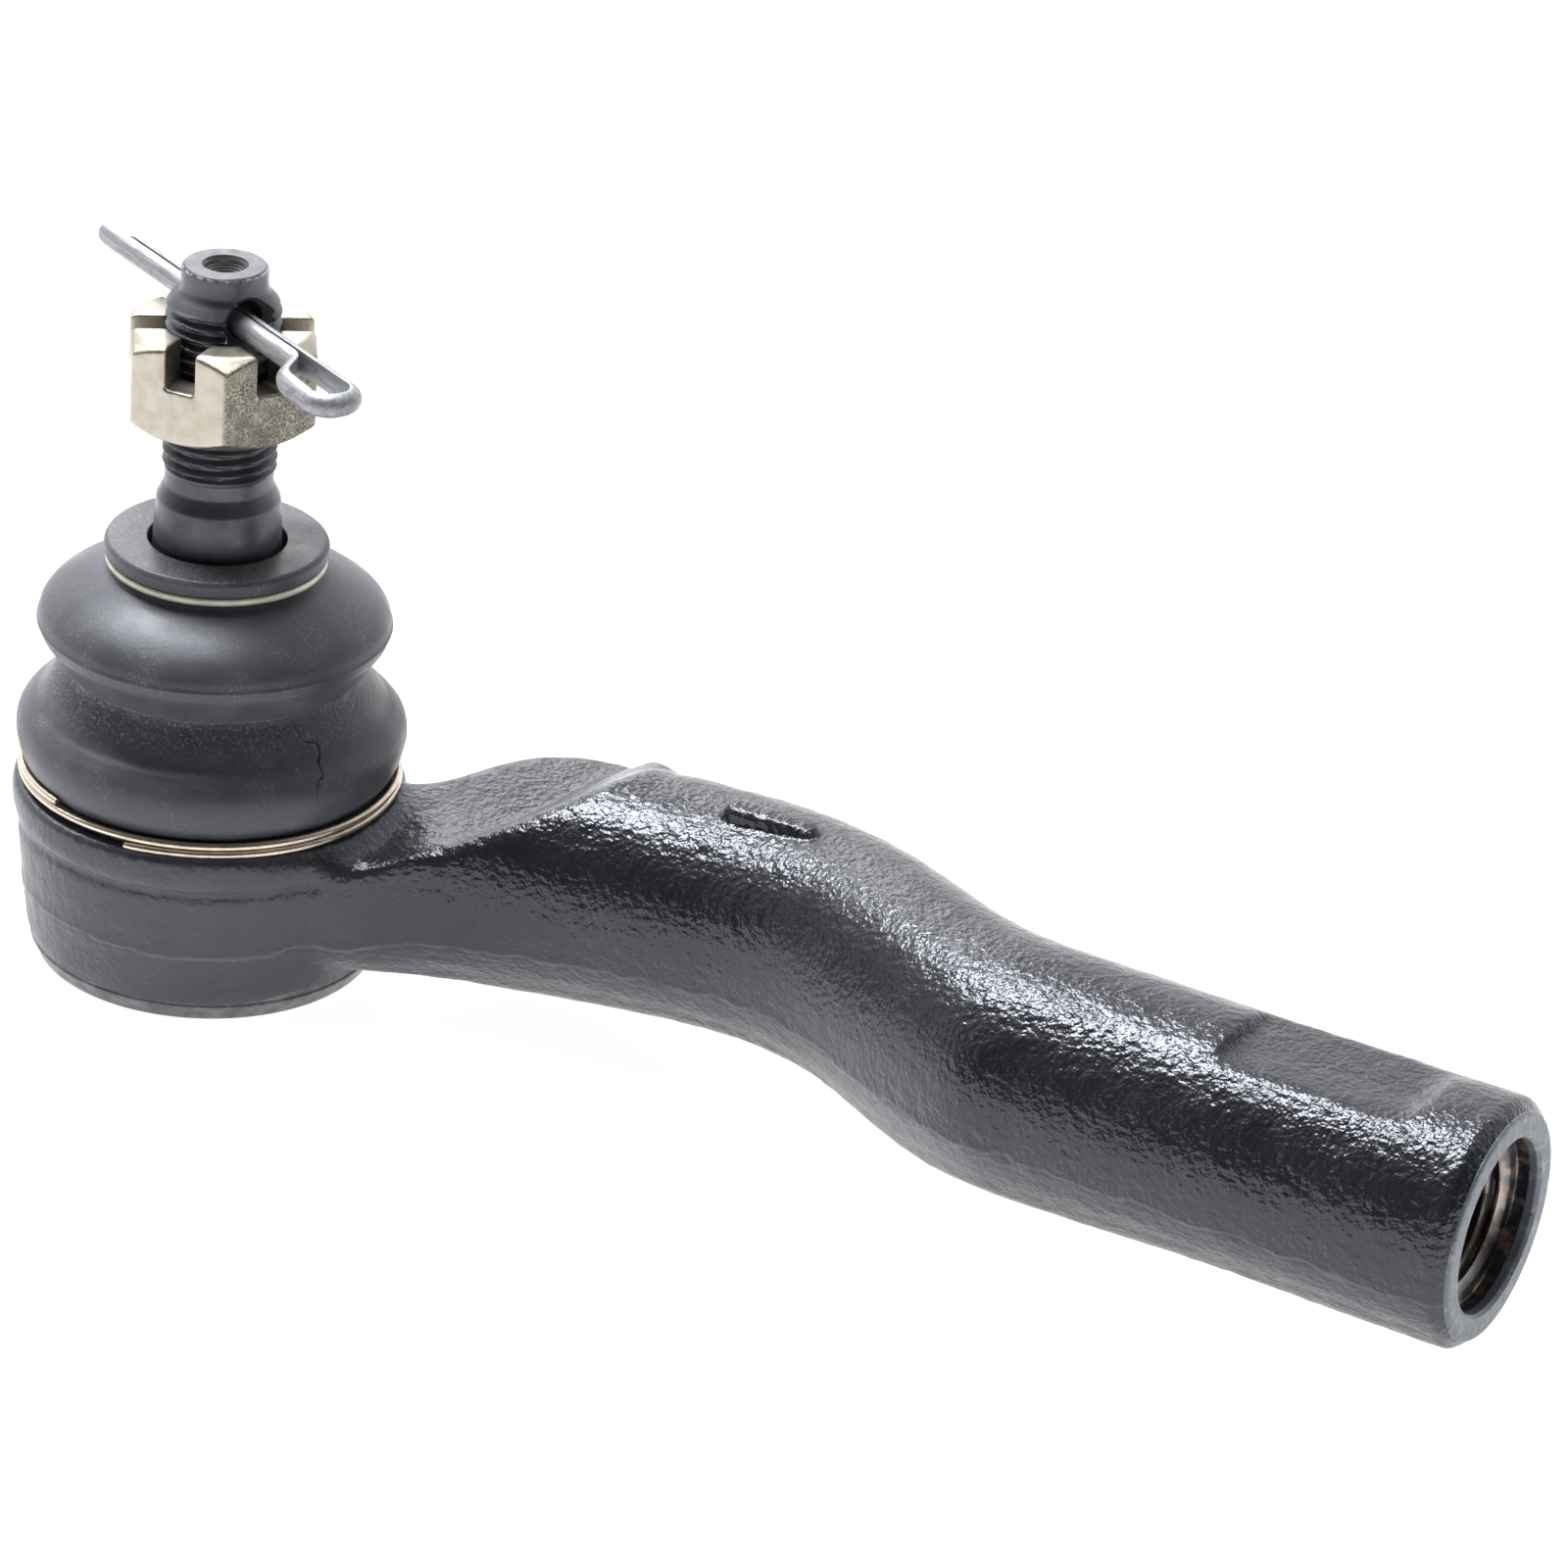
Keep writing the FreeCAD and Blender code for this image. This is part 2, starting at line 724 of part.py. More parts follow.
for item in doc.Objects:
    if "Invalid" in item.State or "Error" in item.State:
        raise RuntimeError(f"{item.Name} failed: {item.State}")
for item in subparts:
    shape = item.Shape
    if shape.isNull() or not shape.isValid() or not shape.Solids:
        raise RuntimeError(f"{item.Label} has no valid solid")
    print(f"{item.Label}: {len(shape.Solids)} solid, {shape.Volume:.0f} mm3, {shape.BoundBox}")

os.makedirs("parts", exist_ok=True)
for item in subparts:
    item.Shape.exportStep(os.path.join("parts", f"{item.Label}.step"))
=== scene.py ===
import math

import bmesh
import bpy
import numpy as np
from mathutils import Matrix, Vector, noise


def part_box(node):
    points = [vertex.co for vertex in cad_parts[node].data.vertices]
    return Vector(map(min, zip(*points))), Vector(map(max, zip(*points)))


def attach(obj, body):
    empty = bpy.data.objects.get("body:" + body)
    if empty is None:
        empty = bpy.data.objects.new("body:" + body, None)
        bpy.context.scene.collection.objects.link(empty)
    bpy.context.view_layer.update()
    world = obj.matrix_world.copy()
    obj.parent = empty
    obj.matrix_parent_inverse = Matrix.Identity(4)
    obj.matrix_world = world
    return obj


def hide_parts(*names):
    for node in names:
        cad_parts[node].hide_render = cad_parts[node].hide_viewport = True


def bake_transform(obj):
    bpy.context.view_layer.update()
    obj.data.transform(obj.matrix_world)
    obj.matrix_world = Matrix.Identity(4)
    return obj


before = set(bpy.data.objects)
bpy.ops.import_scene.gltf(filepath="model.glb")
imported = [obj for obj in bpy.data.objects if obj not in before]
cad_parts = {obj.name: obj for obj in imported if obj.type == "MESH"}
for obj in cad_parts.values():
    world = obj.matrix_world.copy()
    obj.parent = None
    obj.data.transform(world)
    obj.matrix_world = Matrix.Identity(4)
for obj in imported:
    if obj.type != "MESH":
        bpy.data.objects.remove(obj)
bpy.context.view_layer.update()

# Lengths in this script are millimetres, unless a name ends in _m; Blender's own unit is the metre.
MM = 0.001
TURN = 2 * math.pi


def levels(node):
    """A CAD node's lowest and highest level along Z, in millimetres."""
    low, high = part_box(node)
    return low.z / MM, high.z / MM


STUD_TOP = levels("ball_stud")[1]
NUT_BASE, NUT_TOP = levels("castle_nut")
FLANGE_TOP = levels("dust_boot")[1]
BOOT_BASE = levels("dust_boot")[0]
RING_BASE, RING_TOP = levels("boot_top_ring")
CLIP_BASE = levels("boot_wire_ring")[0]
SOCKET_BASE = levels("housing")[0]
COVER_BASE, COVER_TOP = levels("end_cover")
TUBE_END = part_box("housing")[1].x / MM
TUBE_RADIUS = 12.5
BALL_RADIUS = -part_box("ball_stud")[0].x / MM
PIN_DIRECTION = math.radians(-23.0)
PIN_RISE = math.radians(-1.2)
PIN_LEVEL = STUD_TOP - 5.25
PIN_HOLE_LEVEL = STUD_TOP - 4.7
PIN_HOLE_RADIUS = 2.1

SEGMENTS = 192


# ---------------------------------------------------------------- shapes


def link_mesh(name, mesh):
    piece = bpy.data.objects.new(name, mesh)
    bpy.context.scene.collection.objects.link(piece)
    return piece


def shade(mesh, sharp_angle):
    mesh.shade_smooth()
    mesh.set_sharp_from_angle(angle=math.radians(sharp_angle))


def mesh_piece(name, verts, faces, sharp_angle=40):
    """A piece from vertices in millimetres, with doubles merged and its normals facing out."""
    mesh = bpy.data.meshes.new(name)
    mesh.from_pydata((np.asarray(verts) * MM).tolist(), [], faces)
    edit = bmesh.new()
    edit.from_mesh(mesh)
    bmesh.ops.remove_doubles(edit, verts=edit.verts, dist=1e-7)
    bmesh.ops.recalc_face_normals(edit, faces=edit.faces)
    edit.to_mesh(mesh)
    edit.free()
    shade(mesh, sharp_angle)
    return link_mesh(name, mesh)


def grid_faces(rows, columns, wrap_rows=False):
    """Quads between neighbouring points of a grid stored row by row, each row a closed ring."""
    faces = []
    for row in range(rows if wrap_rows else rows - 1):
        following = (row + 1) % rows
        for column in range(columns):
            beside = (column + 1) % columns
            faces.append(
                (
                    row * columns + column,
                    row * columns + beside,
                    following * columns + beside,
                    following * columns + column,
                )
            )
    return faces


def rounded(corners, closed=False, arc_step=math.radians(15)):
    """Points through (across, up, fillet) corners, each corner rounded by its fillet."""
    points = []
    count = len(corners)
    for index, (across, up, fillet) in enumerate(corners):
        here = np.array((across, up), float)
        at_end = not closed and index in (0, count - 1)
        if fillet <= 0 or at_end:
            points.append(here)
            continue
        back = np.array(corners[index - 1][:2]) - here
        ahead = np.array(corners[(index + 1) % count][:2]) - here
        shortest = min(np.linalg.norm(back), np.linalg.norm(ahead))
        back /= np.linalg.norm(back)
        ahead /= np.linalg.norm(ahead)
        half = 0.5 * math.acos(np.clip(back @ ahead, -1, 1))
        if half > math.radians(89.5):
            points.append(here)
            continue
        reach = min(fillet / math.tan(half), 0.49 * shortest)
        radius = reach * math.tan(half)
        inward = (back + ahead) / np.linalg.norm(back + ahead)
        centre = here + inward * radius / math.sin(half)
        first = here + back * reach - centre
        last = here + ahead * reach - centre
        start = math.atan2(first[1], first[0])
        sweep = (math.atan2(last[1], last[0]) - start + math.pi) % TURN - math.pi
        steps = max(2, math.ceil(abs(sweep) / arc_step))
        for step in range(steps + 1):
            angle = start + sweep * step / steps
            points.append(centre + radius * np.array((math.cos(angle), math.sin(angle))))
    return points


def smooth_curve(points, steps=8):
    """Points along a smooth curve through the given ones."""
    spots = [np.array(point, float) for point in points]
    spots = [2 * spots[0] - spots[1]] + spots + [2 * spots[-1] - spots[-2]]
    result = []
    for before, start, end, after in zip(spots, spots[1:], spots[2:], spots[3:]):
        for step in range(steps):
            t = step / steps
            result.append(
                0.5
                * (
                    2 * start
                    + (end - before) * t
                    + (2 * before - 5 * start + 4 * end - after) * t**2
                    + (3 * start - before - 3 * end + after) * t**3
                )
            )
    result.append(spots[-2])
    return result


def divided(points, longest):
    """The same line with no run longer than the given length."""
    result = [np.array(points[0], float)]
    for end in points[1:]:
        start = result[-1]
        pieces = max(1, math.ceil(np.linalg.norm(np.array(end) - start) / longest))
        for piece in range(1, pieces + 1):
            result.append(start + (np.array(end) - start) * piece / pieces)
    return result


def turned(name, profile, closed=False, shape=None, segments=SEGMENTS, sharp_angle=40):
    """A piece turned about Z from (radius, level) points; shape(angle, radius, level) may vary it."""
    radius, level = np.array(profile, float).T
    angle = np.arange(segments) * TURN / segments
    angle, radius = np.meshgrid(angle, radius)
    level = np.repeat(level[:, None], segments, axis=1)
    if shape:
        radius, level = shape(angle, radius, level)
    verts = np.stack([radius * np.cos(angle), radius * np.sin(angle), level], -1)
    faces = grid_faces(len(profile), segments, wrap_rows=closed)
    return mesh_piece(name, verts.reshape(-1, 3), faces, sharp_angle)


def swept(name, centres, normals, binormals, section, scales):
    """A closed section of (along normal, along binormal) points carried along a path, with capped ends."""
    section = np.array(section, float)
    rings = []
    for centre, normal, binormal, size in zip(centres, normals, binormals, scales):
        rings.append(centre + size * (section[:, :1] * normal + section[:, 1:] * binormal))
    rows, columns = len(rings), len(section)
    faces = grid_faces(rows, columns)
    faces.append(tuple(range(columns))[::-1])
    faces.append(tuple((rows - 1) * columns + column for column in range(columns)))
    return mesh_piece(name, np.concatenate(rings), faces)


def carve(piece, cutters):
    """Cut the cutters out of the piece and remove them."""
    for cutter in cutters:
        step = piece.modifiers.new("carve", "BOOLEAN")
        step.operation = "DIFFERENCE"
        step.solver = "EXACT"
        step.object = cutter
    bake_modifiers(piece)
    for cutter in cutters:
        bpy.data.objects.remove(cutter)


def bake_modifiers(piece):
    """Give the piece the mesh that its modifiers make."""
    bpy.context.view_layer.update()
    graph = bpy.context.evaluated_depsgraph_get()
    mesh = bpy.data.meshes.new_from_object(piece.evaluated_get(graph))
    piece.modifiers.clear()
    piece.data = mesh


def place_copy(name, node):
    """A new piece with a CAD node's mesh, free to be reworked."""
    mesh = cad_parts[node].data.copy()
    mesh.materials.clear()
    return link_mesh(name, mesh)


def remeshed(name, node, voxel):
    """A CAD node's shape as an even grid of small quads."""
    piece = place_copy(name, node)
    weld = piece.modifiers.new("weld", "WELD")
    weld.merge_threshold = 1e-6
    remesh = piece.modifiers.new("remesh", "REMESH")
    remesh.mode = "VOXEL"
    remesh.voxel_size = voxel * MM
    bake_modifiers(piece)
    return piece


def vertices_of(piece):
    """The piece's vertices in millimetres, one row each."""
    spots = np.zeros(len(piece.data.vertices) * 3)
    piece.data.vertices.foreach_get("co", spots)
    return spots.reshape(-1, 3) / MM


def normals_of(piece):
    normals = np.zeros(len(piece.data.vertices) * 3)
    piece.data.vertices.foreach_get("normal", normals)
    return normals.reshape(-1, 3)


def set_vertices(piece, spots):
    piece.data.vertices.foreach_set("co", (spots * MM).ravel())
    piece.data.update()


def relax(piece, passes, weight=None):
    """Let each vertex drift towards its neighbours' mean; weight says how freely."""
    spots = vertices_of(piece)
    edges = np.zeros(len(piece.data.edges) * 2, int)
    piece.data.edges.foreach_get("vertices", edges)
    first, second = edges.reshape(-1, 2).T
    count = len(spots)
    ends = np.concatenate([first, second])
    starts = np.concatenate([second, first])
    valence = np.bincount(ends, minlength=count)
    freedom = 0.5 if weight is None else 0.5 * weight[:, None]
    for _ in range(passes):
        mean = np.stack([np.bincount(ends, spots[starts, axis], count) for axis in range(3)], -1)
        mean /= np.maximum(valence, 1)[:, None]
        spots = spots + freedom * (mean - spots)
    set_vertices(piece, spots)


def remove_faces(piece, unwanted):
    """Delete the faces whose centres, in millimetres, the test picks out."""
    edit = bmesh.new()
    edit.from_mesh(piece.data)
    doomed = [face for face in edit.faces if unwanted(face.calc_center_median() / MM)]
    bmesh.ops.delete(edit, geom=doomed, context="FACES")
    edit.to_mesh(piece.data)
    edit.free()


def ramp_between(value, low, high):
    """0 below low, 1 above high and a smooth turn between."""
    t = np.clip((value - low) / (high - low), 0, 1)
    return t * t * (3 - 2 * t)


def roughness_noise(spots, grain, seed=0.0):
    """Smooth noise at each spot, from -1 to 1, with bumps about one grain across."""
    return np.array([noise.noise(Vector(spot) / grain + Vector((seed, seed, seed))) for spot in spots])


# ---------------------------------------------------------------- materials


class Finish:
    """A material's node tree, with short calls for the nodes that the finishes share."""

    def __init__(self, name):
        self.material = bpy.data.materials.new(name)
        self.material.use_nodes = True
        self.tree = self.material.node_tree
        self.tree.nodes.clear()
        self.surface = self.tree.nodes.new("ShaderNodeBsdfPrincipled")
        output = self.tree.nodes.new("ShaderNodeOutputMaterial")
        self.tree.links.new(self.surface.outputs["BSDF"], output.inputs["Surface"])
        self.place = self.tree.nodes.new("ShaderNodeTexCoord").outputs["Object"]

    def put(self, socket, value):
        if isinstance(value, bpy.types.NodeSocket):
            self.tree.links.new(value, socket)
        elif isinstance(value, tuple) and len(value) == 3 and len(socket.default_value) == 4:
            socket.default_value = (*value, 1.0)
        else:
            socket.default_value = value

    def set(self, **values):
        """Set the shader's sockets: base_color becomes Base Color."""
        for name, value in values.items():
            self.put(self.surface.inputs[name.replace("_", " ").title().replace("Ior", "IOR")], value)

    def node(self, kind, *values, **settings):
        made = self.tree.nodes.new(kind)
        for name, value in settings.items():
            setattr(made, name, value)
        for socket, value in zip(made.inputs, values):
            if value is not None:
                self.put(socket, value)
        return made

    def stretched(self, x, y, z):
        mapping = self.node("ShaderNodeMapping", self.place)
        mapping.inputs["Scale"].default_value = (x, y, z)
        return mapping.outputs["Vector"]

    def noise(self, grain, detail=2.0, where=None):
        """Noise from 0 to 1 whose bumps are about one grain, in millimetres, across."""
        made = self.tree.nodes.new("ShaderNodeTexNoise")
        self.put(made.inputs["Vector"], where or self.place)
        made.inputs["Scale"].default_value = 1 / (grain * MM)
        made.inputs["Detail"].default_value = detail
        return made.outputs["Fac"]

    def pebbles(self, grain):
        """Distance from the middle of the nearest rounded cell, one grain across."""
        made = self.tree.nodes.new("ShaderNodeTexVoronoi")
        made.feature = "SMOOTH_F1"
        self.put(made.inputs["Vector"], self.place)
        made.inputs["Scale"].default_value = 1 / (grain * MM)
        return made.outputs["Distance"]

    def span(self, value, low, high, to_low=0.0, to_high=1.0):
        """Carry the value from one range to another, held at both ends."""
        made = self.node("ShaderNodeMapRange", value, low, high, to_low, to_high)
        return made.outputs["Result"]

    def reach(self, length, low, high, to_low=0.0, to_high=1.0):
        """The same for a length, with its range in millimetres."""
        return self.span(length, low * MM, high * MM, to_low, to_high)

    def sum(self, first, second):
        return self.node("ShaderNodeMath", first, second, operation="ADD").outputs[0]

    def times(self, first, second):
        return self.node("ShaderNodeMath", first, second, operation="MULTIPLY").outputs[0]

    def most(self, first, second):
        return self.node("ShaderNodeMath", first, second, operation="MAXIMUM").outputs[0]

    def gap(self, first, second):
        """How far apart the two values are."""
        apart = self.node("ShaderNodeMath", first, second, operation="SUBTRACT").outputs[0]
        return self.node("ShaderNodeMath", apart, operation="ABSOLUTE").outputs[0]

    def blend(self, factor, first, second):
        """A colour between two others."""
        made = self.tree.nodes.new("ShaderNodeMix")
        made.data_type = "RGBA"
        self.put(made.inputs[0], factor)
        self.put(made.inputs[6], first)
        self.put(made.inputs[7], second)
        return made.outputs[2]

    def axis(self, name):
        return self.node("ShaderNodeSeparateXYZ", self.place).outputs[name]

    def from_axis(self, of_x=False):
        """Distance in metres from the Z axis, or from the X axis."""
        parts = self.node("ShaderNodeSeparateXYZ", self.place)
        first = parts.outputs["Z" if of_x else "X"]
        squares = self.sum(self.times(first, first), self.times(parts.outputs["Y"], parts.outputs["Y"]))
        return self.node("ShaderNodeMath", squares, operation="SQRT").outputs[0]

    def relief(self, height, depth, strength=1.0, over=None):
        """Bump from a height between 0 and 1, depth millimetres deep."""
        made = self.tree.nodes.new("ShaderNodeBump")
        made.inputs["Strength"].default_value = strength
        made.inputs["Distance"].default_value = depth * MM
        self.put(made.inputs["Height"], height)
        if over is not None:
            self.put(made.inputs["Normal"], over)
        return made.outputs["Normal"]


def parting_line(finish):
    """1 on the forging's parting line, falling to 0 a third of a millimetre away."""
    parts = finish.node("ShaderNodeSeparateXYZ", finish.place)
    level = finish.node(
        "ShaderNodeMapRange",
        parts.outputs["X"],
        PARTING_START * MM,
        PARTING_END * MM,
        PARTING_SOCKET * MM,
        PARTING_TUBE * MM,
        interpolation_type="SMOOTHSTEP",
    ).outputs["Result"]
    wander = finish.span(finish.noise(6.0, 2.0), 0.25, 0.75, -0.8 * MM, 0.8 * MM)
    gap = finish.gap(parts.outputs["Z"], finish.sum(level, wander))
    return finish.reach(gap, 0.06, 0.32, 1.0, 0.0)


def forged_paint():
    """Black gloss paint on a bumpy forged skin: rounded pebbles, fine pores and a light parting line."""
    finish = Finish("forged_paint")
    pebbles = finish.pebbles(1.15)
    peel = finish.noise(0.62, 1.5)
    pores = finish.noise(0.3, 2.0)
    patches = finish.noise(9.0, 3.0)
    on_arm = finish.reach(finish.axis("X"), 14, 32)
    rough_patch = finish.span(patches, 0.3, 0.62, 0.7, 1.15)
    height = finish.sum(finish.times(pebbles, -0.55), finish.sum(peel, finish.times(pores, 0.22)))
    height = finish.times(height, finish.times(finish.span(on_arm, 0, 1, 0.55, 1.0), rough_patch))
    line = finish.times(parting_line(finish), finish.span(finish.noise(2.2, 3.0), 0.3, 0.55, 0.35, 1.0))
    gloss = finish.blend(finish.span(patches, 0.3, 0.7), (0.013, 0.0138, 0.0175), (0.020, 0.0212, 0.027))
    satin = finish.blend(finish.span(patches, 0.3, 0.7), (0.036, 0.037, 0.045), (0.046, 0.047, 0.056))
    paint = finish.blend(on_arm, satin, gloss)
    dust = finish.times(finish.span(peel, 0.34, 0.46, 1.0, 0.0), finish.span(patches, 0.5, 0.7, 0.0, 0.3))
    paint = finish.blend(dust, paint, (0.09, 0.09, 0.095))
    rough = finish.span(finish.noise(3.0, 4.0), 0.3, 0.7, 0.17, 0.29)
    finish.set(
        base_color=finish.blend(finish.times(line, 0.5), paint, (0.17, 0.17, 0.175)),
        roughness=finish.sum(rough, finish.span(on_arm, 0, 1, 0.12, 0.0)),
        normal=finish.relief(line, 0.04, over=finish.relief(height, 0.19)),
        specular_ior_level=0.7,
        specular_tint=(0.86, 0.89, 1.0),
    )
    return finish.material


def lip_paint():
    """The rolled lip's rubbed grey paint."""
    finish = Finish("lip_paint")
    rubbed = finish.span(finish.noise(1.5, 5.0), 0.4, 0.65)
    finish.set(
        base_color=finish.blend(rubbed, (0.10, 0.103, 0.115), (0.20, 0.20, 0.205)),
        roughness=finish.span(finish.noise(2.0, 4.0), 0.3, 0.7, 0.28, 0.42),
        normal=finish.relief(finish.noise(0.7, 3.0), 0.03),
    )
    return finish.material


def machined_paint():
    """Thin blue-grey paint over the turned end face, with its faint turning rings."""
    finish = Finish("machined_paint")
    rings = finish.noise(0.5, 2.0, finish.stretched(4.0, 0.3, 0.3))
    worn = finish.span(finish.noise(1.2, 4.0), 0.55, 0.72)
    specks = finish.span(finish.noise(0.4, 4.0), 0.62, 0.7)
    grey = finish.blend(worn, (0.16, 0.175, 0.20), (0.30, 0.31, 0.33))
    finish.set(
        base_color=finish.blend(specks, grey, (0.03, 0.03, 0.035)),
        metallic=0.3,
        roughness=finish.span(finish.noise(0.8, 3.0), 0.3, 0.7, 0.34, 0.5),
        normal=finish.relief(finish.sum(rings, finish.noise(0.5)), 0.03),
    )
    return finish.material


def bore_steel():
    """Oiled thread in the bore: dark flanks and rubbed crests with a coppery tint; the crests' bright
    colour is partly a painted highlight.
    """
    finish = Finish("bore_steel")
    tint = finish.noise(2.6, 4.0)
    # crests painted bright: rubbed wear, and partly a painted highlight on the thread turns
    crest = finish.reach(finish.from_axis(of_x=True), 7.35, 8.0, 1.0, 0.0)
    rubbed = finish.times(crest, finish.span(tint, 0.35, 0.6, 0.4, 1.0))
    dark = finish.blend(finish.span(tint, 0.52, 0.62), (0.055, 0.06, 0.075), (0.26, 0.19, 0.155))
    finish.set(
        base_color=finish.blend(rubbed, dark, (0.52, 0.46, 0.41)),
        metallic=0.85,
        roughness=finish.span(finish.noise(0.7, 3.0), 0.3, 0.7, 0.25, 0.42),
        normal=finish.relief(finish.noise(0.25, 3.0), 0.015),
    )
    return finish.material


def black_oxide():
    """Black oxide on turned steel: faint turning lines, soft stains, a rubbed bright top edge that is
    partly a painted highlight, and a painted reflection in the centre recess.
    """
    finish = Finish("black_oxide")
    lines = finish.noise(0.5, 3.0, finish.stretched(0.15, 0.15, 6.0))
    stains = finish.noise(3.2, 4.0)
    # the top edge's bright colour: rubbed wear, and partly a painted highlight on the rim
    top = finish.reach(finish.axis("Z"), STUD_TOP - 0.42, STUD_TOP - 0.18)
    rim = finish.reach(finish.from_axis(), 4.25, 4.4)
    worn = finish.times(finish.times(top, rim), finish.span(finish.noise(0.7, 3.0), 0.40, 0.55))
    # the centre recess's walls painted lighter: a painted reflection inside the hollow
    recess = finish.times(
        finish.reach(finish.from_axis(), 2.0, 2.25, 1.0, 0.0),
        finish.reach(finish.axis("Z"), STUD_TOP - 3.2, STUD_TOP - 1.2),
    )
    # worn now carries both the rubbed edge with its painted highlight and the recess's painted reflection
    worn = finish.most(finish.times(worn, 0.8), finish.times(recess, 0.35))
    oxide = finish.blend(finish.span(stains, 0.35, 0.7), (0.070, 0.072, 0.086), (0.112, 0.115, 0.134))
    finish.set(
        base_color=finish.blend(worn, oxide, (0.62, 0.58, 0.52)),
        metallic=0.55,
        roughness=finish.span(finish.noise(1.4, 4.0), 0.3, 0.7, 0.26, 0.42),
        normal=finish.relief(lines, 0.012),
    )
    return finish.material


def scuff_line(finish):
    """1 along a fine wandering scuff across the bellows' lower fold, on its right-hand front."""
    parts = finish.node("ShaderNodeSeparateXYZ", finish.place)
    level = parts.outputs["Z"]
    angle = finish.node("ShaderNodeMath", parts.outputs["Y"], parts.outputs["X"], operation="ARCTAN2")
    upper = finish.reach(level, 12.3, 15.0, math.radians(-18.5), math.radians(-24.5))
    lower = finish.reach(level, 8.0, 12.3, math.radians(-2.0), 0.0)
    wander = finish.span(finish.noise(3.5, 1.5), 0.25, 0.75, -0.04, 0.04)
    gap = finish.gap(angle.outputs[0], finish.sum(finish.sum(upper, lower), wander))
    ends = finish.times(finish.reach(level, 7.8, 9.0), finish.reach(level, 14.6, 15.2, 1.0, 0.0))
    return finish.times(finish.span(gap, 0.003, 0.011, 1.0, 0.0), ends)


def rubber():
    """Satin moulded rubber with pale dust that gathers in the waist and over the flange."""
    finish = Finish("rubber")
    skin = finish.noise(0.22, 3.0)
    level = finish.axis("Z")
    waist = finish.times(finish.reach(level, 10.8, 13.2), finish.reach(level, 15.2, 16.6, 1.0, 0.0))
    flange = finish.reach(level, FLANGE_TOP - 0.25, FLANGE_TOP - 0.1)
    clouds = finish.noise(4.5, 5.0)
    speckle = finish.span(finish.noise(0.30, 4.0), 0.52, 0.68)
    waist_dust = finish.times(waist, finish.reach(finish.axis("X"), -12, 8, 1.0, 0.45))
    dusty = finish.most(waist_dust, finish.times(flange, 0.5))
    dusty = finish.most(dusty, finish.span(clouds, 0.5, 0.72, 0.06, 0.5))
    dust = finish.times(speckle, dusty)
    black = finish.blend(finish.span(clouds, 0.35, 0.7), (0.064, 0.066, 0.078), (0.080, 0.082, 0.096))
    coarse = finish.times(finish.noise(0.42, 4.0), finish.sum(waist, 0.16))
    scuff = scuff_line(finish)
    dusted = finish.blend(dust, black, (0.30, 0.295, 0.28))
    bumps = finish.relief(coarse, 0.12, 0.8, over=finish.relief(skin, 0.02, 0.7))
    finish.set(
        base_color=finish.blend(finish.times(scuff, 0.8), dusted, (0.010, 0.010, 0.012)),
        roughness=finish.span(finish.sum(clouds, finish.times(dust, 0.4)), 0.3, 0.8, 0.31, 0.52),
        normal=finish.relief(finish.times(scuff, -1.0), 0.15, over=bumps),
        specular_ior_level=0.42,
        specular_tint=(0.88, 0.91, 1.0),
    )
    return finish.material


def nut_zinc():
    """Champagne zinc plate: satin and scuffed, with one flat gone olive and speckled; that flat's darker
    tone is partly painted shade.
    """
    finish = Finish("nut_zinc")
    parts = finish.node("ShaderNodeSeparateXYZ", finish.place)
    across = finish.sum(
        finish.times(parts.outputs["X"], math.cos(PIN_DIRECTION)),
        finish.times(parts.outputs["Y"], math.sin(PIN_DIRECTION)),
    )
    # the flat facing the pin's direction: olive tarnish, its darker tone partly painted shade on that side
    shaded_tarnished_flat = finish.reach(across, 9.1, 9.4)
    grains = finish.span(finish.noise(0.22, 4.0), 0.38, 0.62)
    blotches = finish.span(finish.noise(1.7, 4.0), 0.4, 0.62)
    olive = finish.blend(grains, (0.12, 0.11, 0.075), (0.50, 0.48, 0.41))
    olive = finish.blend(finish.times(blotches, 0.6), olive, (0.18, 0.14, 0.12))
    clouds = finish.span(finish.noise(2.4, 5.0), 0.4, 0.7)
    plate = finish.blend(clouds, (0.51, 0.475, 0.41), (0.44, 0.395, 0.32))
    # how far the olive, partly painted shade, covers that flat
    shade_and_tarnish = finish.times(shaded_tarnished_flat, finish.span(finish.noise(3.0, 3.0), 0.25, 0.5, 0.6, 1.0))
    scratches = finish.noise(0.35, 3.0, finish.stretched(1.0, 1.0, 0.12))
    finish.set(
        base_color=finish.blend(shade_and_tarnish, plate, olive),
        metallic=1.0,
        roughness=finish.sum(
            finish.span(finish.noise(1.2, 4.0), 0.3, 0.7, 0.33, 0.44), finish.times(shade_and_tarnish, 0.08)
        ),
        normal=finish.relief(finish.sum(scratches, finish.times(grains, shade_and_tarnish)), 0.02),
    )
    return finish.material


def dull_wire():
    """Bright steel wire gone dull, with drawing lines along it and dark smears."""
    finish = Finish("dull_wire")
    drawn = finish.noise(0.3, 3.0, turned_place(finish, PIN_DIRECTION, 0.08))
    smears = finish.span(finish.noise(1.1, 5.0), 0.55, 0.72)
    grey = finish.blend(finish.span(drawn, 0.35, 0.65), (0.28, 0.29, 0.305), (0.43, 0.44, 0.46))
    finish.set(
        base_color=finish.blend(finish.times(smears, 0.6), grey, (0.16, 0.16, 0.17)),
        metallic=0.8,
        roughness=finish.span(finish.noise(0.8, 4.0), 0.3, 0.7, 0.46, 0.62),
        normal=finish.relief(drawn, 0.03),
    )
    return finish.material


def turned_place(finish, angle, stretch):
    """Places turned about Z by the angle, then stretched along their new X."""
    mapping = finish.node("ShaderNodeMapping", finish.place, vector_type="TEXTURE")
    mapping.inputs["Rotation"].default_value = (0, 0, angle)
    mapping.inputs["Scale"].default_value = (1 / stretch, 1, 1)
    return mapping.outputs["Vector"]


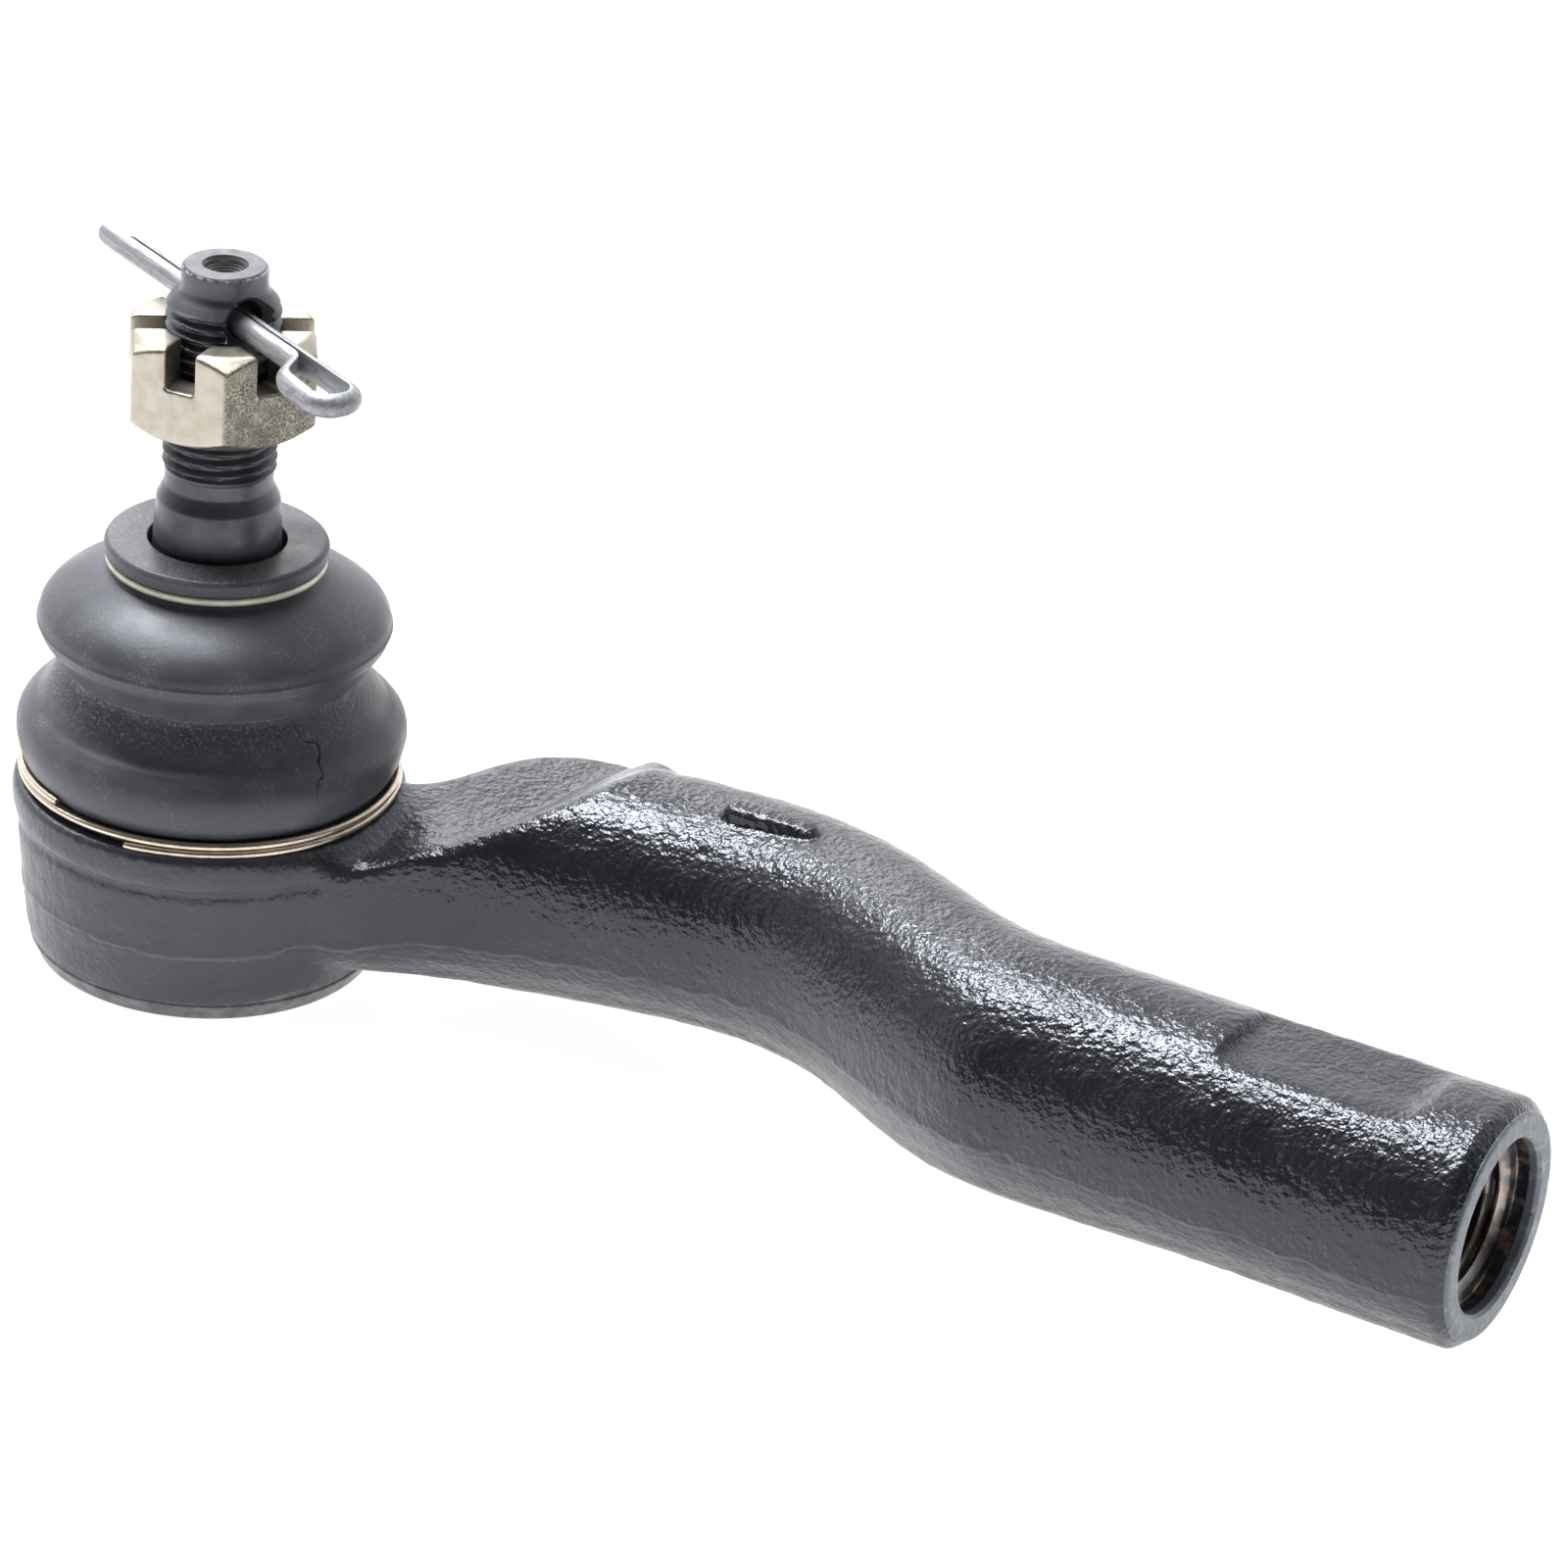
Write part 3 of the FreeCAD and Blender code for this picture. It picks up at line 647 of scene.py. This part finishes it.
def plated(name, pale, deep, roughness, metallic=1.0):
    """A thin plated finish: two tones in soft clouds, small dark pits and fine scratches."""
    finish = Finish(name)
    clouds = finish.span(finish.noise(1.6, 4.0), 0.35, 0.68)
    pits = finish.span(finish.noise(0.45, 5.0), 0.64, 0.72)
    plate = finish.blend(clouds, pale, deep)
    finish.set(
        base_color=finish.blend(finish.times(pits, 0.3), plate, (0.08, 0.07, 0.05)),
        metallic=metallic,
        roughness=finish.span(finish.noise(0.9, 4.0), 0.3, 0.7, roughness - 0.06, roughness + 0.08),
        normal=finish.relief(finish.noise(0.3, 3.0), 0.02),
    )
    return finish.material


def acetal():
    """Off-white moulded plastic, faintly cloudy."""
    finish = Finish("acetal")
    finish.set(
        base_color=finish.blend(finish.noise(3.0, 3.0), (0.80, 0.79, 0.74), (0.86, 0.85, 0.81)),
        roughness=finish.span(finish.noise(1.0, 3.0), 0.3, 0.7, 0.38, 0.52),
        normal=finish.relief(finish.noise(0.4, 3.0), 0.01),
    )
    return finish.material


def cover_paint():
    """Black paint on the pressed cover, rubbed grey in scattered patches."""
    finish = Finish("cover_paint")
    scuffs = finish.span(finish.noise(0.9, 6.0), 0.56, 0.72)
    finish.set(
        base_color=finish.blend(finish.times(scuffs, 0.5), (0.02, 0.021, 0.024), (0.16, 0.16, 0.16)),
        roughness=finish.span(finish.noise(2.0, 4.0), 0.3, 0.7, 0.3, 0.48),
        normal=finish.relief(finish.noise(0.6, 3.0), 0.03),
    )
    return finish.material


# ---------------------------------------------------------------- housing

VOXEL = 0.37
# the forging's parting line climbs from the socket's foot to the tube's middle
PARTING_SOCKET, PARTING_TUBE = -10.1, -3.5
PARTING_START, PARTING_END = 8.0, 108.0


def parting_level(x):
    return PARTING_SOCKET + (PARTING_TUBE - PARTING_SOCKET) * ramp_between(x, PARTING_START, PARTING_END)


def forged_skin(spots):
    """Height of the forged skin's coarse bumps, in millimetres."""
    return 0.05 * roughness_noise(spots, 2.1) + 0.035 * roughness_noise(spots, 1.1, 7.0)


def bar_height(spots):
    """A plain straight raised bar on the arm's top, soft at its edges."""
    low = Vector((57.6, 12.5, 0))
    high = Vector((65.8, 12.7, 0))
    line = high - low
    along = ((spots[:, 0] - low.x) * line.x + (spots[:, 1] - low.y) * line.y) / line.length_squared
    along = np.clip(along, 0, 1)
    gap = np.hypot(spots[:, 0] - low.x - along * line.x, spots[:, 1] - low.y - along * line.y)
    return 0.8 * (1 - ramp_between(gap, 0.8, 1.6)) * (spots[:, 2] > 4)


def taken_by_inserts(centre):
    """Whether the bore, the end face, the socket's inside or the lip has a piece of its own here."""
    from_bore = math.hypot(centre.y, centre.z)
    in_bore = centre.x > TUBE_END - 52.5 and from_bore < 9.7
    end_face = centre.x > TUBE_END - 0.25 and from_bore < 11.2
    radius = math.hypot(centre.x, centre.y)
    inside = radius < 17.2 and centre.z < 6.0
    lip = radius < 19.6 and centre.z < SOCKET_BASE + 1.9 and centre.x < 19.0
    return in_bore or end_face or inside or lip


def shape_shelf(piece):
    """Hollow the shelf's near side, raise its far side and lower the crest behind it."""
    spots = vertices_of(piece)
    x, y, z = spots.T
    radius = np.hypot(x, y)
    cove = (1 - ramp_between(radius, 22.5, 28.5)) * (1 - ramp_between(y, -3, 10))
    far_side = ramp_between(y, 8, 22) * (1 - ramp_between(x, 38, 47))
    on_shelf = ramp_between(x, 14, 18) * ramp_between(z, -2.5, 0.5) * ramp_between(radius, 20.4, 21.4)
    lift = (1.3 * far_side - 2.1 * cove) * on_shelf
    crest = np.exp(-((np.hypot(x - 43.8, y - 20.8) / 3.2) ** 2)) * (z + lift > 3)
    spots[:, 2] += lift - 0.8 * crest
    set_vertices(piece, spots)


def soften_corners(piece):
    """Round every corner a little, the arm's root and the flat's outer end much more."""
    spots = vertices_of(piece)
    x, y, z = spots.T
    root = ramp_between(x, 13, 19) * (1 - ramp_between(x, 42, 54))
    root = root * np.maximum(1 - ramp_between(y, 5, 12), 0.12)
    flat_end = ramp_between(x, 137, 141) * (1 - ramp_between(x, 145, 148)) * ramp_between(z, 8, 10)
    relax(piece, 44, np.maximum(np.maximum(root, flat_end), 0.02))
    relax(piece, 9, np.where(np.hypot(x, y) < 21.2, 0.35, 1.0))


def raise_skin(piece):
    """Parting ridge, die draft, the tube's belly, the socket's groove, the bar and the forged bumps."""
    spots = vertices_of(piece)
    normals = normals_of(piece)
    x, y, z = spots.T
    radius = np.hypot(x, y)
    off_parting = z - parting_level(x)
    sideways = ramp_between(np.hypot(normals[:, 0], normals[:, 1]), 0.45, 0.8)
    ridge = 0.12 * np.exp(-((off_parting / 0.8) ** 2)) * sideways
    below = 0.10 * (1 - ramp_between(off_parting, -0.9, 0.5)) * sideways
    draft = -0.13 * np.clip(-off_parting, 0, 5) * sideways * (0.3 + 0.7 * ramp_between(x, 16, 28))
    belly = 0.7 * np.exp(-(((x - 102) / 17) ** 2)) * np.clip(-normals[:, 2], 0, 1)
    corners = 0.3 * np.abs(np.sin(2 * np.arctan2(z, y))) * ramp_between(x, 122, 146)
    droop = -2.7 - 1.1 * ramp_between(-x, 6, 18)
    on_socket = 1 - ramp_between(radius, 20.9, 21.6)
    groove = -0.32 * np.exp(-(((z - droop) / 0.55) ** 2)) * on_socket
    calm = 1 - 0.45 * (1 - ramp_between(radius, 20.5, 26.0))
    lift = 0.12 + ridge + below + draft + belly + corners + groove + bar_height(spots)
    lift = lift + calm * forged_skin(spots)
    away_from_lip = 0.2 + 0.8 * ramp_between(radius, 19.2, 19.8)
    away_from_end = 1 - ramp_between(x, TUBE_END - 1.8, TUBE_END - 0.5)
    set_vertices(piece, spots + normals * (lift * away_from_lip * away_from_end)[:, None])


def make_forging():
    """Socket, arm and tube in one skin, as forged."""
    piece = remeshed("forged_housing", "housing", VOXEL)
    remove_faces(piece, taken_by_inserts)
    shape_shelf(piece)
    soften_corners(piece)
    raise_skin(piece)
    shade(piece.data, 180)
    return piece


def make_tube_mouth():
    """The tube's rounded end, its flat face, the plain mouth and the M16 x 1.5 thread behind it."""
    core, mouth = 7.19, 8.95
    pitch, depth = 1.5, 0.81
    bore_depth = 48.0
    outside = [
        (10.2, -1.6, 0),
        (TUBE_RADIUS - 0.85, -1.0, 0),
        (TUBE_RADIUS - 0.8, -0.12, 0.3),
        (TUBE_RADIUS - 1.3, 0.0, 0.3),
        (mouth + 0.35, 0.0, 0.1),
        (mouth, -0.35, 0.15),
        (mouth, -2.5, 0.25),
        (core + depth, -2.75, 0.1),
        (core + 0.1, -3.4, 0.1),
    ]
    profile = divided(rounded(outside), 0.4)
    thread_start = profile[-1][1]
    steps = int(bore_depth / (pitch / 8))
    profile += [(core, thread_start - step * pitch / 8) for step in range(1, steps)]
    end = profile[-1][1]
    profile += [(core, end - 1), (0.0, end - 4.5)]

    def shape(angle, radius, level):
        phase = (level / pitch + angle / TURN) % 1.0
        crest = np.abs(phase - 0.5) * 2
        groove = np.clip((0.85 - crest) / 0.6, 0, 1)
        fade = ramp_between(-level, 2.9, 4.2) * (1 - ramp_between(-level, bore_depth - 2, bore_depth))
        inside = radius < core + 0.05
        return radius + np.where(inside & (radius > 1), depth * groove * fade, 0), level

    piece = turned("tube_mouth", profile, shape=shape, segments=144, sharp_angle=50)
    spots = vertices_of(piece)
    # turned about Z, then laid along X
    set_vertices(piece, np.stack([TUBE_END + spots[:, 2], spots[:, 1], -spots[:, 0]], -1))
    for face in piece.data.polygons:
        from_bore = math.hypot(face.center.y, face.center.z) / MM
        in_thread = from_bore < mouth - 0.2 or face.center.x / MM < TUBE_END - 1.2
        face.material_index = 1 if in_thread else 0
    return piece


def make_swaged_lip():
    """The socket's foot, rolled inwards over the cover, with the tool's line above it."""
    base = SOCKET_BASE - 0.5
    corners = [
        (18.90, base + 3.2, 0),
        (18.86, base + 2.5, 0.1),
        (18.78, base + 2.36, 0.1),
        (18.92, base + 2.10, 0.14),
        (18.10, base + 0.35, 0.5),
        (17.3, base + 0.02, 0.5),
        (15.9, base, 0.5),
        (14.6, base + 0.28, 0.3),
        (14.4, base + 0.7, 0.2),
        (14.4, base + 1.3, 0.1),
        (16.5, base + 1.4, 0),
    ]

    def shape(angle, radius, level):
        wave = 0.05 * np.sin(5 * angle + 1.0) + 0.04 * np.sin(11 * angle)
        rolled = 1 - ramp_between(level, base + 0.6, base + 1.6)
        return radius + wave * rolled * (radius < 16), level

    return turned("swaged_lip", divided(rounded(corners), 0.5), shape=shape)


def make_end_cover():
    """The pressed cover inside the lip: a shallow dish with a rolled step and a centre dimple."""
    base, top = COVER_BASE, COVER_TOP
    corners = [
        (0, base + 0.95, 0),
        (1.6, base + 0.9, 0.4),
        (2.3, base + 0.5, 0.5),
        (8.6, base + 0.5, 0.8),
        (9.6, base + 0.02, 0.8),
        (15.55, base + 0.02, 0.2),
        (15.55, top, 0.2),
        (0, top, 0),
    ]
    return turned("pressed_cover", divided(rounded(corners), 0.8))


# ---------------------------------------------------------------- stud, nut and pin


def make_stud():
    """Ball, neck, taper, relief and a real M12 x 1.25 thread, under the plain dog point."""
    pitch, depth = 1.25, 0.72
    top = STUD_TOP
    thread_low, thread_high = top - 22.6, top - 4.1
    flat = -levels("ball_stud")[0]
    first = math.asin(math.sqrt(1 - (flat / BALL_RADIUS) ** 2))
    last = math.pi - math.asin(5.3 / BALL_RADIUS) - 0.06
    ball = [
        (BALL_RADIUS * math.sin(a), -BALL_RADIUS * math.cos(a))
        for a in np.linspace(first, last, 40)
    ]
    below = [
        (5.3, 10.6, 1.2),
        (5.3, 13.4, 4.0),
        (7.3, 20.2, 2.0),
        (6.5, top - 25.9, 0.9),
        (5.72, top - 24.3, 0.9),
        (5.66, top - 22.75, 0.3),
        (6.0, top - 22.25, 0.1),
    ]
    shank = rounded([(*ball[-1], 0)] + below + [(6.0, top - 20, 0)])[:-1]
    crest = [(6.0, level) for level in np.arange(top - 22.1, thread_high, pitch / 10)]
    above = [
        (6.0, thread_high, 0),
        (5.85, top - 3.95, 0.25),
        (5.25, top - 3.3, 1.6),
        (4.62, top - 2.65, 1.4),
        (4.52, top - 1.6, 0.5),
        (4.52, top - 0.34, 0.12),
        (4.2, top, 0.14),
        (0, top, 0),
    ]
    profile = [(0, -flat)] + ball + divided(shank, 0.5) + crest + divided(rounded(above), 0.35)

    def shape(angle, radius, level):
        phase = (level / pitch - angle / TURN) % 1.0
        valley = np.clip((0.86 - np.abs(phase - 0.5) * 2) / 0.62, 0, 1)
        fade = ramp_between(level, thread_low, thread_low + 0.9)
        fade = fade * (1 - ramp_between(level, thread_high - 0.5, thread_high + 0.35))
        return radius - depth * valley * fade, level

    piece = turned("threaded_stud", profile, shape=shape, segments=160, sharp_angle=45)
    recess = [(0, top - 2.9, 0), (1.55, top - 2.3, 0.1)]
    for step in range(6):
        level = top - 2.2 + 0.3 * step
        recess += [(1.72 + 0.07 * step, level, 0), (1.60 + 0.09 * step, level + 0.15, 0)]
    recess += [(2.12, top - 0.35, 0.1), (2.45, top + 0.05, 0), (2.45, top + 0.5, 0), (0, top + 0.5, 0)]
    centre_drill = turned("recess_cutter", rounded(recess), segments=64)
    wall = 4.0
    flare = [(0, -9), (PIN_HOLE_RADIUS + 9 - wall, -9), (PIN_HOLE_RADIUS, -wall)]
    flare += [(radius, -level) for radius, level in reversed(flare)]
    hole = turned("hole_cutter", flare, segments=64)
    across = Matrix.Rotation(PIN_DIRECTION, 4, "Z") @ Matrix.Rotation(math.pi / 2, 4, "Y")
    hole.data.transform(Matrix.Translation((0, 0, PIN_HOLE_LEVEL * MM)) @ across)
    carve(piece, [centre_drill, hole])
    shade(piece.data, 42)
    return piece


def make_nut():
    """The castle nut, its ends turned to a cone so that each flat ends in an arc, edges softened."""
    piece = remeshed("plated_nut", "castle_nut", 0.16)
    spots = vertices_of(piece)
    radius = np.hypot(spots[:, 0], spots[:, 1])
    slope = 0.80
    for end, sign, inner in ((NUT_TOP, 1, 9.2), (NUT_BASE, -1, 9.1)):
        depth = (end - spots[:, 2]) * sign
        excess = slope * (radius - inner) - depth
        push = np.where((excess > 0) & (radius > inner), excess / (1 + slope * slope), 0)
        shrink = 1 - push * slope / radius
        spots[:, 0] *= shrink
        spots[:, 1] *= shrink
        spots[:, 2] -= push * sign
        radius = np.hypot(spots[:, 0], spots[:, 1])
    set_vertices(piece, spots)
    relax(piece, 9)
    shade(piece.data, 180)
    return piece


def along_pin(points):
    """Points of the pin's own frame (along, across, up) set in the stud's hole."""
    turn = Matrix.Rotation(PIN_DIRECTION, 3, "Z") @ Matrix.Rotation(-PIN_RISE, 3, "Y")
    return np.asarray(points, float) @ np.array(turn).T + np.array((0, 0, PIN_LEVEL))


def make_pin():
    """Half-round wire folded on itself: a bulging eye, flat sides together, one leg longer."""
    wire = 1.33
    gap = 0.11
    long_leg, short_leg = -23.0, -18.8
    corners = [
        (long_leg, -gap, 0),
        (14.9, -gap, 2.6),
        (17.6, -3.5, 2.4),
        (24.6, -3.9, 2.0),
        (24.7, gap, 1.7),
        (21.0, gap, 6.0),
        (short_leg, gap, 0),
    ]
    path = np.array(divided(rounded(corners, arc_step=math.radians(8)), 1.0))
    distinct = np.linalg.norm(np.diff(path, axis=0), axis=1) > 1e-4
    path = path[np.concatenate([[True], distinct])]
    tangents = np.gradient(path, axis=0)
    tangents /= np.linalg.norm(tangents, axis=1)[:, None]
    flat = np.zeros(len(path))
    centres = np.column_stack([path, flat])
    normals = np.column_stack([-tangents[:, 1], tangents[:, 0], flat])
    binormals = np.tile((0.0, 0.0, 1.0), (len(path), 1))
    around = np.linspace(-math.pi / 2 - 0.2, -3 * math.pi / 2 + 0.2, 16)
    half_round = [(-0.02, wire * 0.97, 0.25), (-0.02, -wire * 0.97, 0.25)]
    half_round += [(wire * math.cos(a), wire * math.sin(a), 0) for a in around]
    half_round = rounded(half_round, closed=True)
    scales = np.ones(len(path))
    scales[0] = scales[-1] = 0.86
    piece = swept("split_pin", centres, normals, binormals, half_round, scales)
    set_vertices(piece, along_pin(vertices_of(piece)))
    shade(piece.data, 50)
    return piece


# ---------------------------------------------------------------- boot and its rings


def boot_profile():
    """The boot's closed outline: outside up to the flange, then back down the inside."""
    base, top = BOOT_BASE, FLANGE_TOP
    lower = [(17.8, base), (19.2, base), (19.25, base + 0.4), (19.25, base + 1.5)]
    low_fold = smooth_curve(
        [
            (19.3, base + 1.7),
            (20.1, 5.0),
            (20.6, 7.2),
            (20.3, 8.9),
            (19.35, 10.1),
            (18.3, 11.0),
            (17.2, 12.6),
            (16.1, 14.3),
            (15.75, 15.15),
        ]
    )
    crease = [(15.95, 15.45)]
    high_fold = smooth_curve(
        [
            (16.3, 15.75),
            (17.3, 17.3),
            (18.15, 18.6),
            (18.5, 19.6),
        ]
    )
    flash = [(18.62, 19.78), (18.62, 19.9)]
    shoulder = smooth_curve(
        [
            (18.5, 20.05),
            (18.2, 21.3),
            (17.2, 22.6),
            (15.4, 23.9),
            (13.2, 25.0),
            (11.4, 25.7),
            (10.6, 26.3),
        ]
    )
    flange = rounded(
        [
            (10.5, RING_BASE, 0),
            (8.45, RING_BASE, 0.05),
            (8.45, RING_TOP + 0.1, 0.05),
            (11.7, RING_TOP + 0.12, 0.25),
            (11.8, top - 0.45, 0.4),
            (11.45, top, 0.4),
            (7.3, top, 0.15),
            (7.25, top - 0.5, 0.2),
            (7.35, 25.0, 0.2),
            (8.6, 24.4, 0.3),
            (10.5, 24.4, 0),
        ]
    )
    inside = smooth_curve(
        [
            (12.5, 24.0),
            (14.6, 22.9),
            (16.4, 21.3),
            (17.0, 19.6),
            (16.2, 17.6),
            (14.6, 15.8),
            (14.7, 14.3),
            (16.4, 11.6),
            (18.4, 9.4),
            (19.1, 7.4),
            (18.4, 5.4),
            (17.8, 4.4),
        ]
    )
    outline = lower + low_fold + crease + high_fold + flash + shoulder + flange + inside
    return divided(outline + [outline[0]], 0.6)[:-1]


def make_boot():
    """One rubber bellows, slightly uneven as moulded, from the clip's groove up to the flange."""

    def shape(angle, radius, level):
        wave = 0.10 * np.sin(2 * angle + 0.6) + 0.06 * np.sin(3 * angle - 1.0)
        folds = ramp_between(level, 5, 9) * (1 - ramp_between(level, 22, 25))
        crumple = 0.05 * np.sin(17 * angle + 3 * np.sin(4 * angle)) * np.exp(-(((level - 15.1) / 0.5) ** 2))
        return radius + wave * folds + crumple, level

    piece = turned("bellows", boot_profile(), closed=True, shape=shape, sharp_angle=60)
    spots = vertices_of(piece)
    piece.data.update()
    lift = 0.03 * roughness_noise(spots, 3.5, 2.0)
    set_vertices(piece, spots + normals_of(piece) * lift[:, None])
    return piece


def make_top_ring():
    """The plated ring under the flange, with rounded edges."""
    corners = [
        (8.5, RING_BASE, 0.1),
        (11.55, RING_BASE, 0.3),
        (11.65, RING_BASE + 0.45, 0.4),
        (11.55, RING_TOP, 0.3),
        (8.5, RING_TOP, 0.1),
    ]
    return turned("flange_ring", rounded(corners, closed=True), closed=True)


def make_clip():
    """Just under two turns of spring wire climbing in the boot's groove, with cut ends."""
    wire = 0.41
    steps = 320
    start, turns = math.radians(-81.0), 1.925
    travel = np.linspace(0, 1, steps)
    angle = start + travel * turns * TURN
    low_level, high_level = CLIP_BASE + 0.25, CLIP_BASE + 2.0
    level = low_level + (high_level - low_level) * travel + 0.05 * np.sin(3 * angle)
    spread = 19.95 + 0.06 * np.sin(2 * angle + 1) + 0.22 * np.exp(-travel * 60)
    centres = np.column_stack([spread * np.cos(angle), spread * np.sin(angle), level])
    outward = np.column_stack([np.cos(angle), np.sin(angle), np.zeros(steps)])
    upward = np.tile((0.0, 0.0, 1.0), (steps, 1))
    section = [(wire * math.cos(a), wire * math.sin(a)) for a in np.arange(16) * TURN / 16]
    scales = np.ones(steps)
    scales[0] = scales[-1] = 0.82
    return swept("spring_clip", centres, outward, upward, section, scales)


# ---------------------------------------------------------------- assembly


def finish_piece(piece, materials, body, nodes):
    """Materials, body and replaced nodes; a blended piece has no one body."""
    for material in materials:
        piece.data.materials.append(material)
    if body:
        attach(piece, body)
    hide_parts(*nodes)


def recolour(node, material):
    """Give a CAD node a better material, its shape kept as it is."""
    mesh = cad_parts[node].data
    if not mesh.materials:
        mesh.materials.append(material)
    for number in range(len(mesh.materials)):
        mesh.materials[number] = material


paint = forged_paint()
cover = cover_paint()
finish_piece(make_forging(), [paint], "housing", ["housing"])
finish_piece(make_tube_mouth(), [machined_paint(), bore_steel()], "housing", ["housing"])
finish_piece(make_swaged_lip(), [lip_paint()], "housing", ["housing"])
finish_piece(make_end_cover(), [cover], "housing", ["end_cover"])
finish_piece(make_stud(), [black_oxide()], "stud", ["ball_stud"])
finish_piece(make_nut(), [nut_zinc()], "stud", ["castle_nut"])
finish_piece(make_pin(), [dull_wire()], "cotter_pin", ["cotter_pin"])
finish_piece(
    make_clip(),
    [plated("clip_brass", (0.80, 0.69, 0.56), (0.62, 0.54, 0.45), 0.33)],
    "housing",
    ["boot_wire_ring"],
)
finish_piece(
    make_top_ring(),
    [plated("ring_zinc", (0.72, 0.72, 0.60), (0.58, 0.58, 0.48), 0.4, metallic=0.4)],
    "boot_collar",
    ["boot_top_ring"],
)
bellows = make_boot()
finish_piece(bellows, [rubber()], None, ["dust_boot"])
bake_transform(bellows)

plastic = acetal()
recolour("upper_seat", plastic)
recolour("lower_seat", plastic)
recolour("preload_spring", plated("spring_steel", (0.32, 0.33, 0.35), (0.18, 0.18, 0.20), 0.34))


# ---------------------------------------------------------------- camera, floor and light

CAMERA_AZIMUTH = math.radians(28.73)
CAMERA_ELEVATION = math.radians(26.64)
CAMERA_ROLL = math.radians(4.28)
CAMERA_DISTANCE = 0.63925
CAMERA_TARGET = Vector((0.06954, 0.00003, 0.02209))
CAMERA_LENS = 146.25


def make_camera():
    back = Vector(
        (
            math.sin(CAMERA_AZIMUTH) * math.cos(CAMERA_ELEVATION),
            -math.cos(CAMERA_AZIMUTH) * math.cos(CAMERA_ELEVATION),
            math.sin(CAMERA_ELEVATION),
        )
    )
    level = Vector((math.cos(CAMERA_AZIMUTH), math.sin(CAMERA_AZIMUTH), 0))
    upright = back.cross(level)
    right = level * math.cos(CAMERA_ROLL) + upright * math.sin(CAMERA_ROLL)
    up = back.cross(right)
    data = bpy.data.cameras.new("camera")
    data.sensor_width = 36.0
    data.lens = CAMERA_LENS
    data.clip_start = 0.01
    data.clip_end = 20.0
    camera = bpy.data.objects.new("camera", data)
    bpy.context.scene.collection.objects.link(camera)
    place = CAMERA_TARGET + back * CAMERA_DISTANCE
    camera.matrix_world = Matrix(
        (
            (right.x, up.x, back.x, place.x),
            (right.y, up.y, back.y, place.y),
            (right.z, up.z, back.z, place.z),
            (0, 0, 0, 1),
        )
    )
    bpy.context.scene.camera = camera


def make_floor():
    """A pale table, faintly lit from below as a light table is."""
    half = 2000.0
    level = SOCKET_BASE - 0.62
    corners = [(-half, -half, level), (half, -half, level), (half, half, level), (-half, half, level)]
    floor = mesh_piece("floor", corners, [(0, 1, 2, 3)])
    finish = Finish("pale_table")
    finish.set(
        base_color=finish.blend(finish.noise(40.0, 3.0), (0.34, 0.34, 0.345), (0.36, 0.36, 0.365)),
        roughness=0.6,
        emission_color=(1.0, 1.0, 1.0),
        emission_strength=0.95,
    )
    floor.data.materials.append(finish.material)


def make_area(name, direction, distance, width, height, watts):
    """A soft rectangular light that looks at the middle of the part."""
    data = bpy.data.lights.new(name, "AREA")
    data.shape = "RECTANGLE"
    data.size = width
    data.size_y = height
    data.energy = watts
    light = bpy.data.objects.new(name, data)
    bpy.context.scene.collection.objects.link(light)
    aim = Vector(direction).normalized()
    middle = Vector((0.06, 0.0, 0.01))
    light.location = middle + aim * distance
    light.rotation_euler = aim.to_track_quat("Z", "X").to_euler()


def make_world():
    """A pale room, bright behind the part and dark on the side that the camera stands on."""
    world = bpy.data.worlds.new("studio")
    world.use_nodes = True
    tree = world.node_tree
    tree.nodes.clear()
    output = tree.nodes.new("ShaderNodeOutputWorld")
    sky = tree.nodes.new("ShaderNodeBackground")
    tree.links.new(sky.outputs[0], output.inputs[0])
    spot = tree.nodes.new("ShaderNodeTexCoord")
    towards = tree.nodes.new("ShaderNodeVectorMath")
    towards.operation = "DOT_PRODUCT"
    tree.links.new(spot.outputs["Generated"], towards.inputs[0])
    towards.inputs[1].default_value = (math.sin(CAMERA_AZIMUTH), -math.cos(CAMERA_AZIMUTH), 0.0)
    parts = []
    for from_low, from_high, to_low, to_high in ((-0.3, 0.4, 1.0, 0.05), (-0.9, -0.4, 0.7, 0.0)):
        spread = tree.nodes.new("ShaderNodeMapRange")
        spread.interpolation_type = "SMOOTHSTEP"
        tree.links.new(towards.outputs["Value"], spread.inputs["Value"])
        spread.inputs["From Min"].default_value = from_low
        spread.inputs["From Max"].default_value = from_high
        spread.inputs["To Min"].default_value = to_low
        spread.inputs["To Max"].default_value = to_high
        parts.append(spread.outputs["Result"])
    total = tree.nodes.new("ShaderNodeMath")
    total.operation = "ADD"
    tree.links.new(parts[0], total.inputs[0])
    tree.links.new(parts[1], total.inputs[1])
    tree.links.new(total.outputs[0], sky.inputs["Strength"])
    bpy.context.scene.world = world


make_camera()
make_floor()
make_world()
make_area("overhead_softbox", (-0.40, 0.06, 0.9), 0.75, 0.55, 0.22, 9.3)
make_area("back_softbox", (-0.62, 0.66, 0.42), 0.65, 0.26, 0.26, 0.55)
bpy.context.scene.view_settings.view_transform = "Standard"
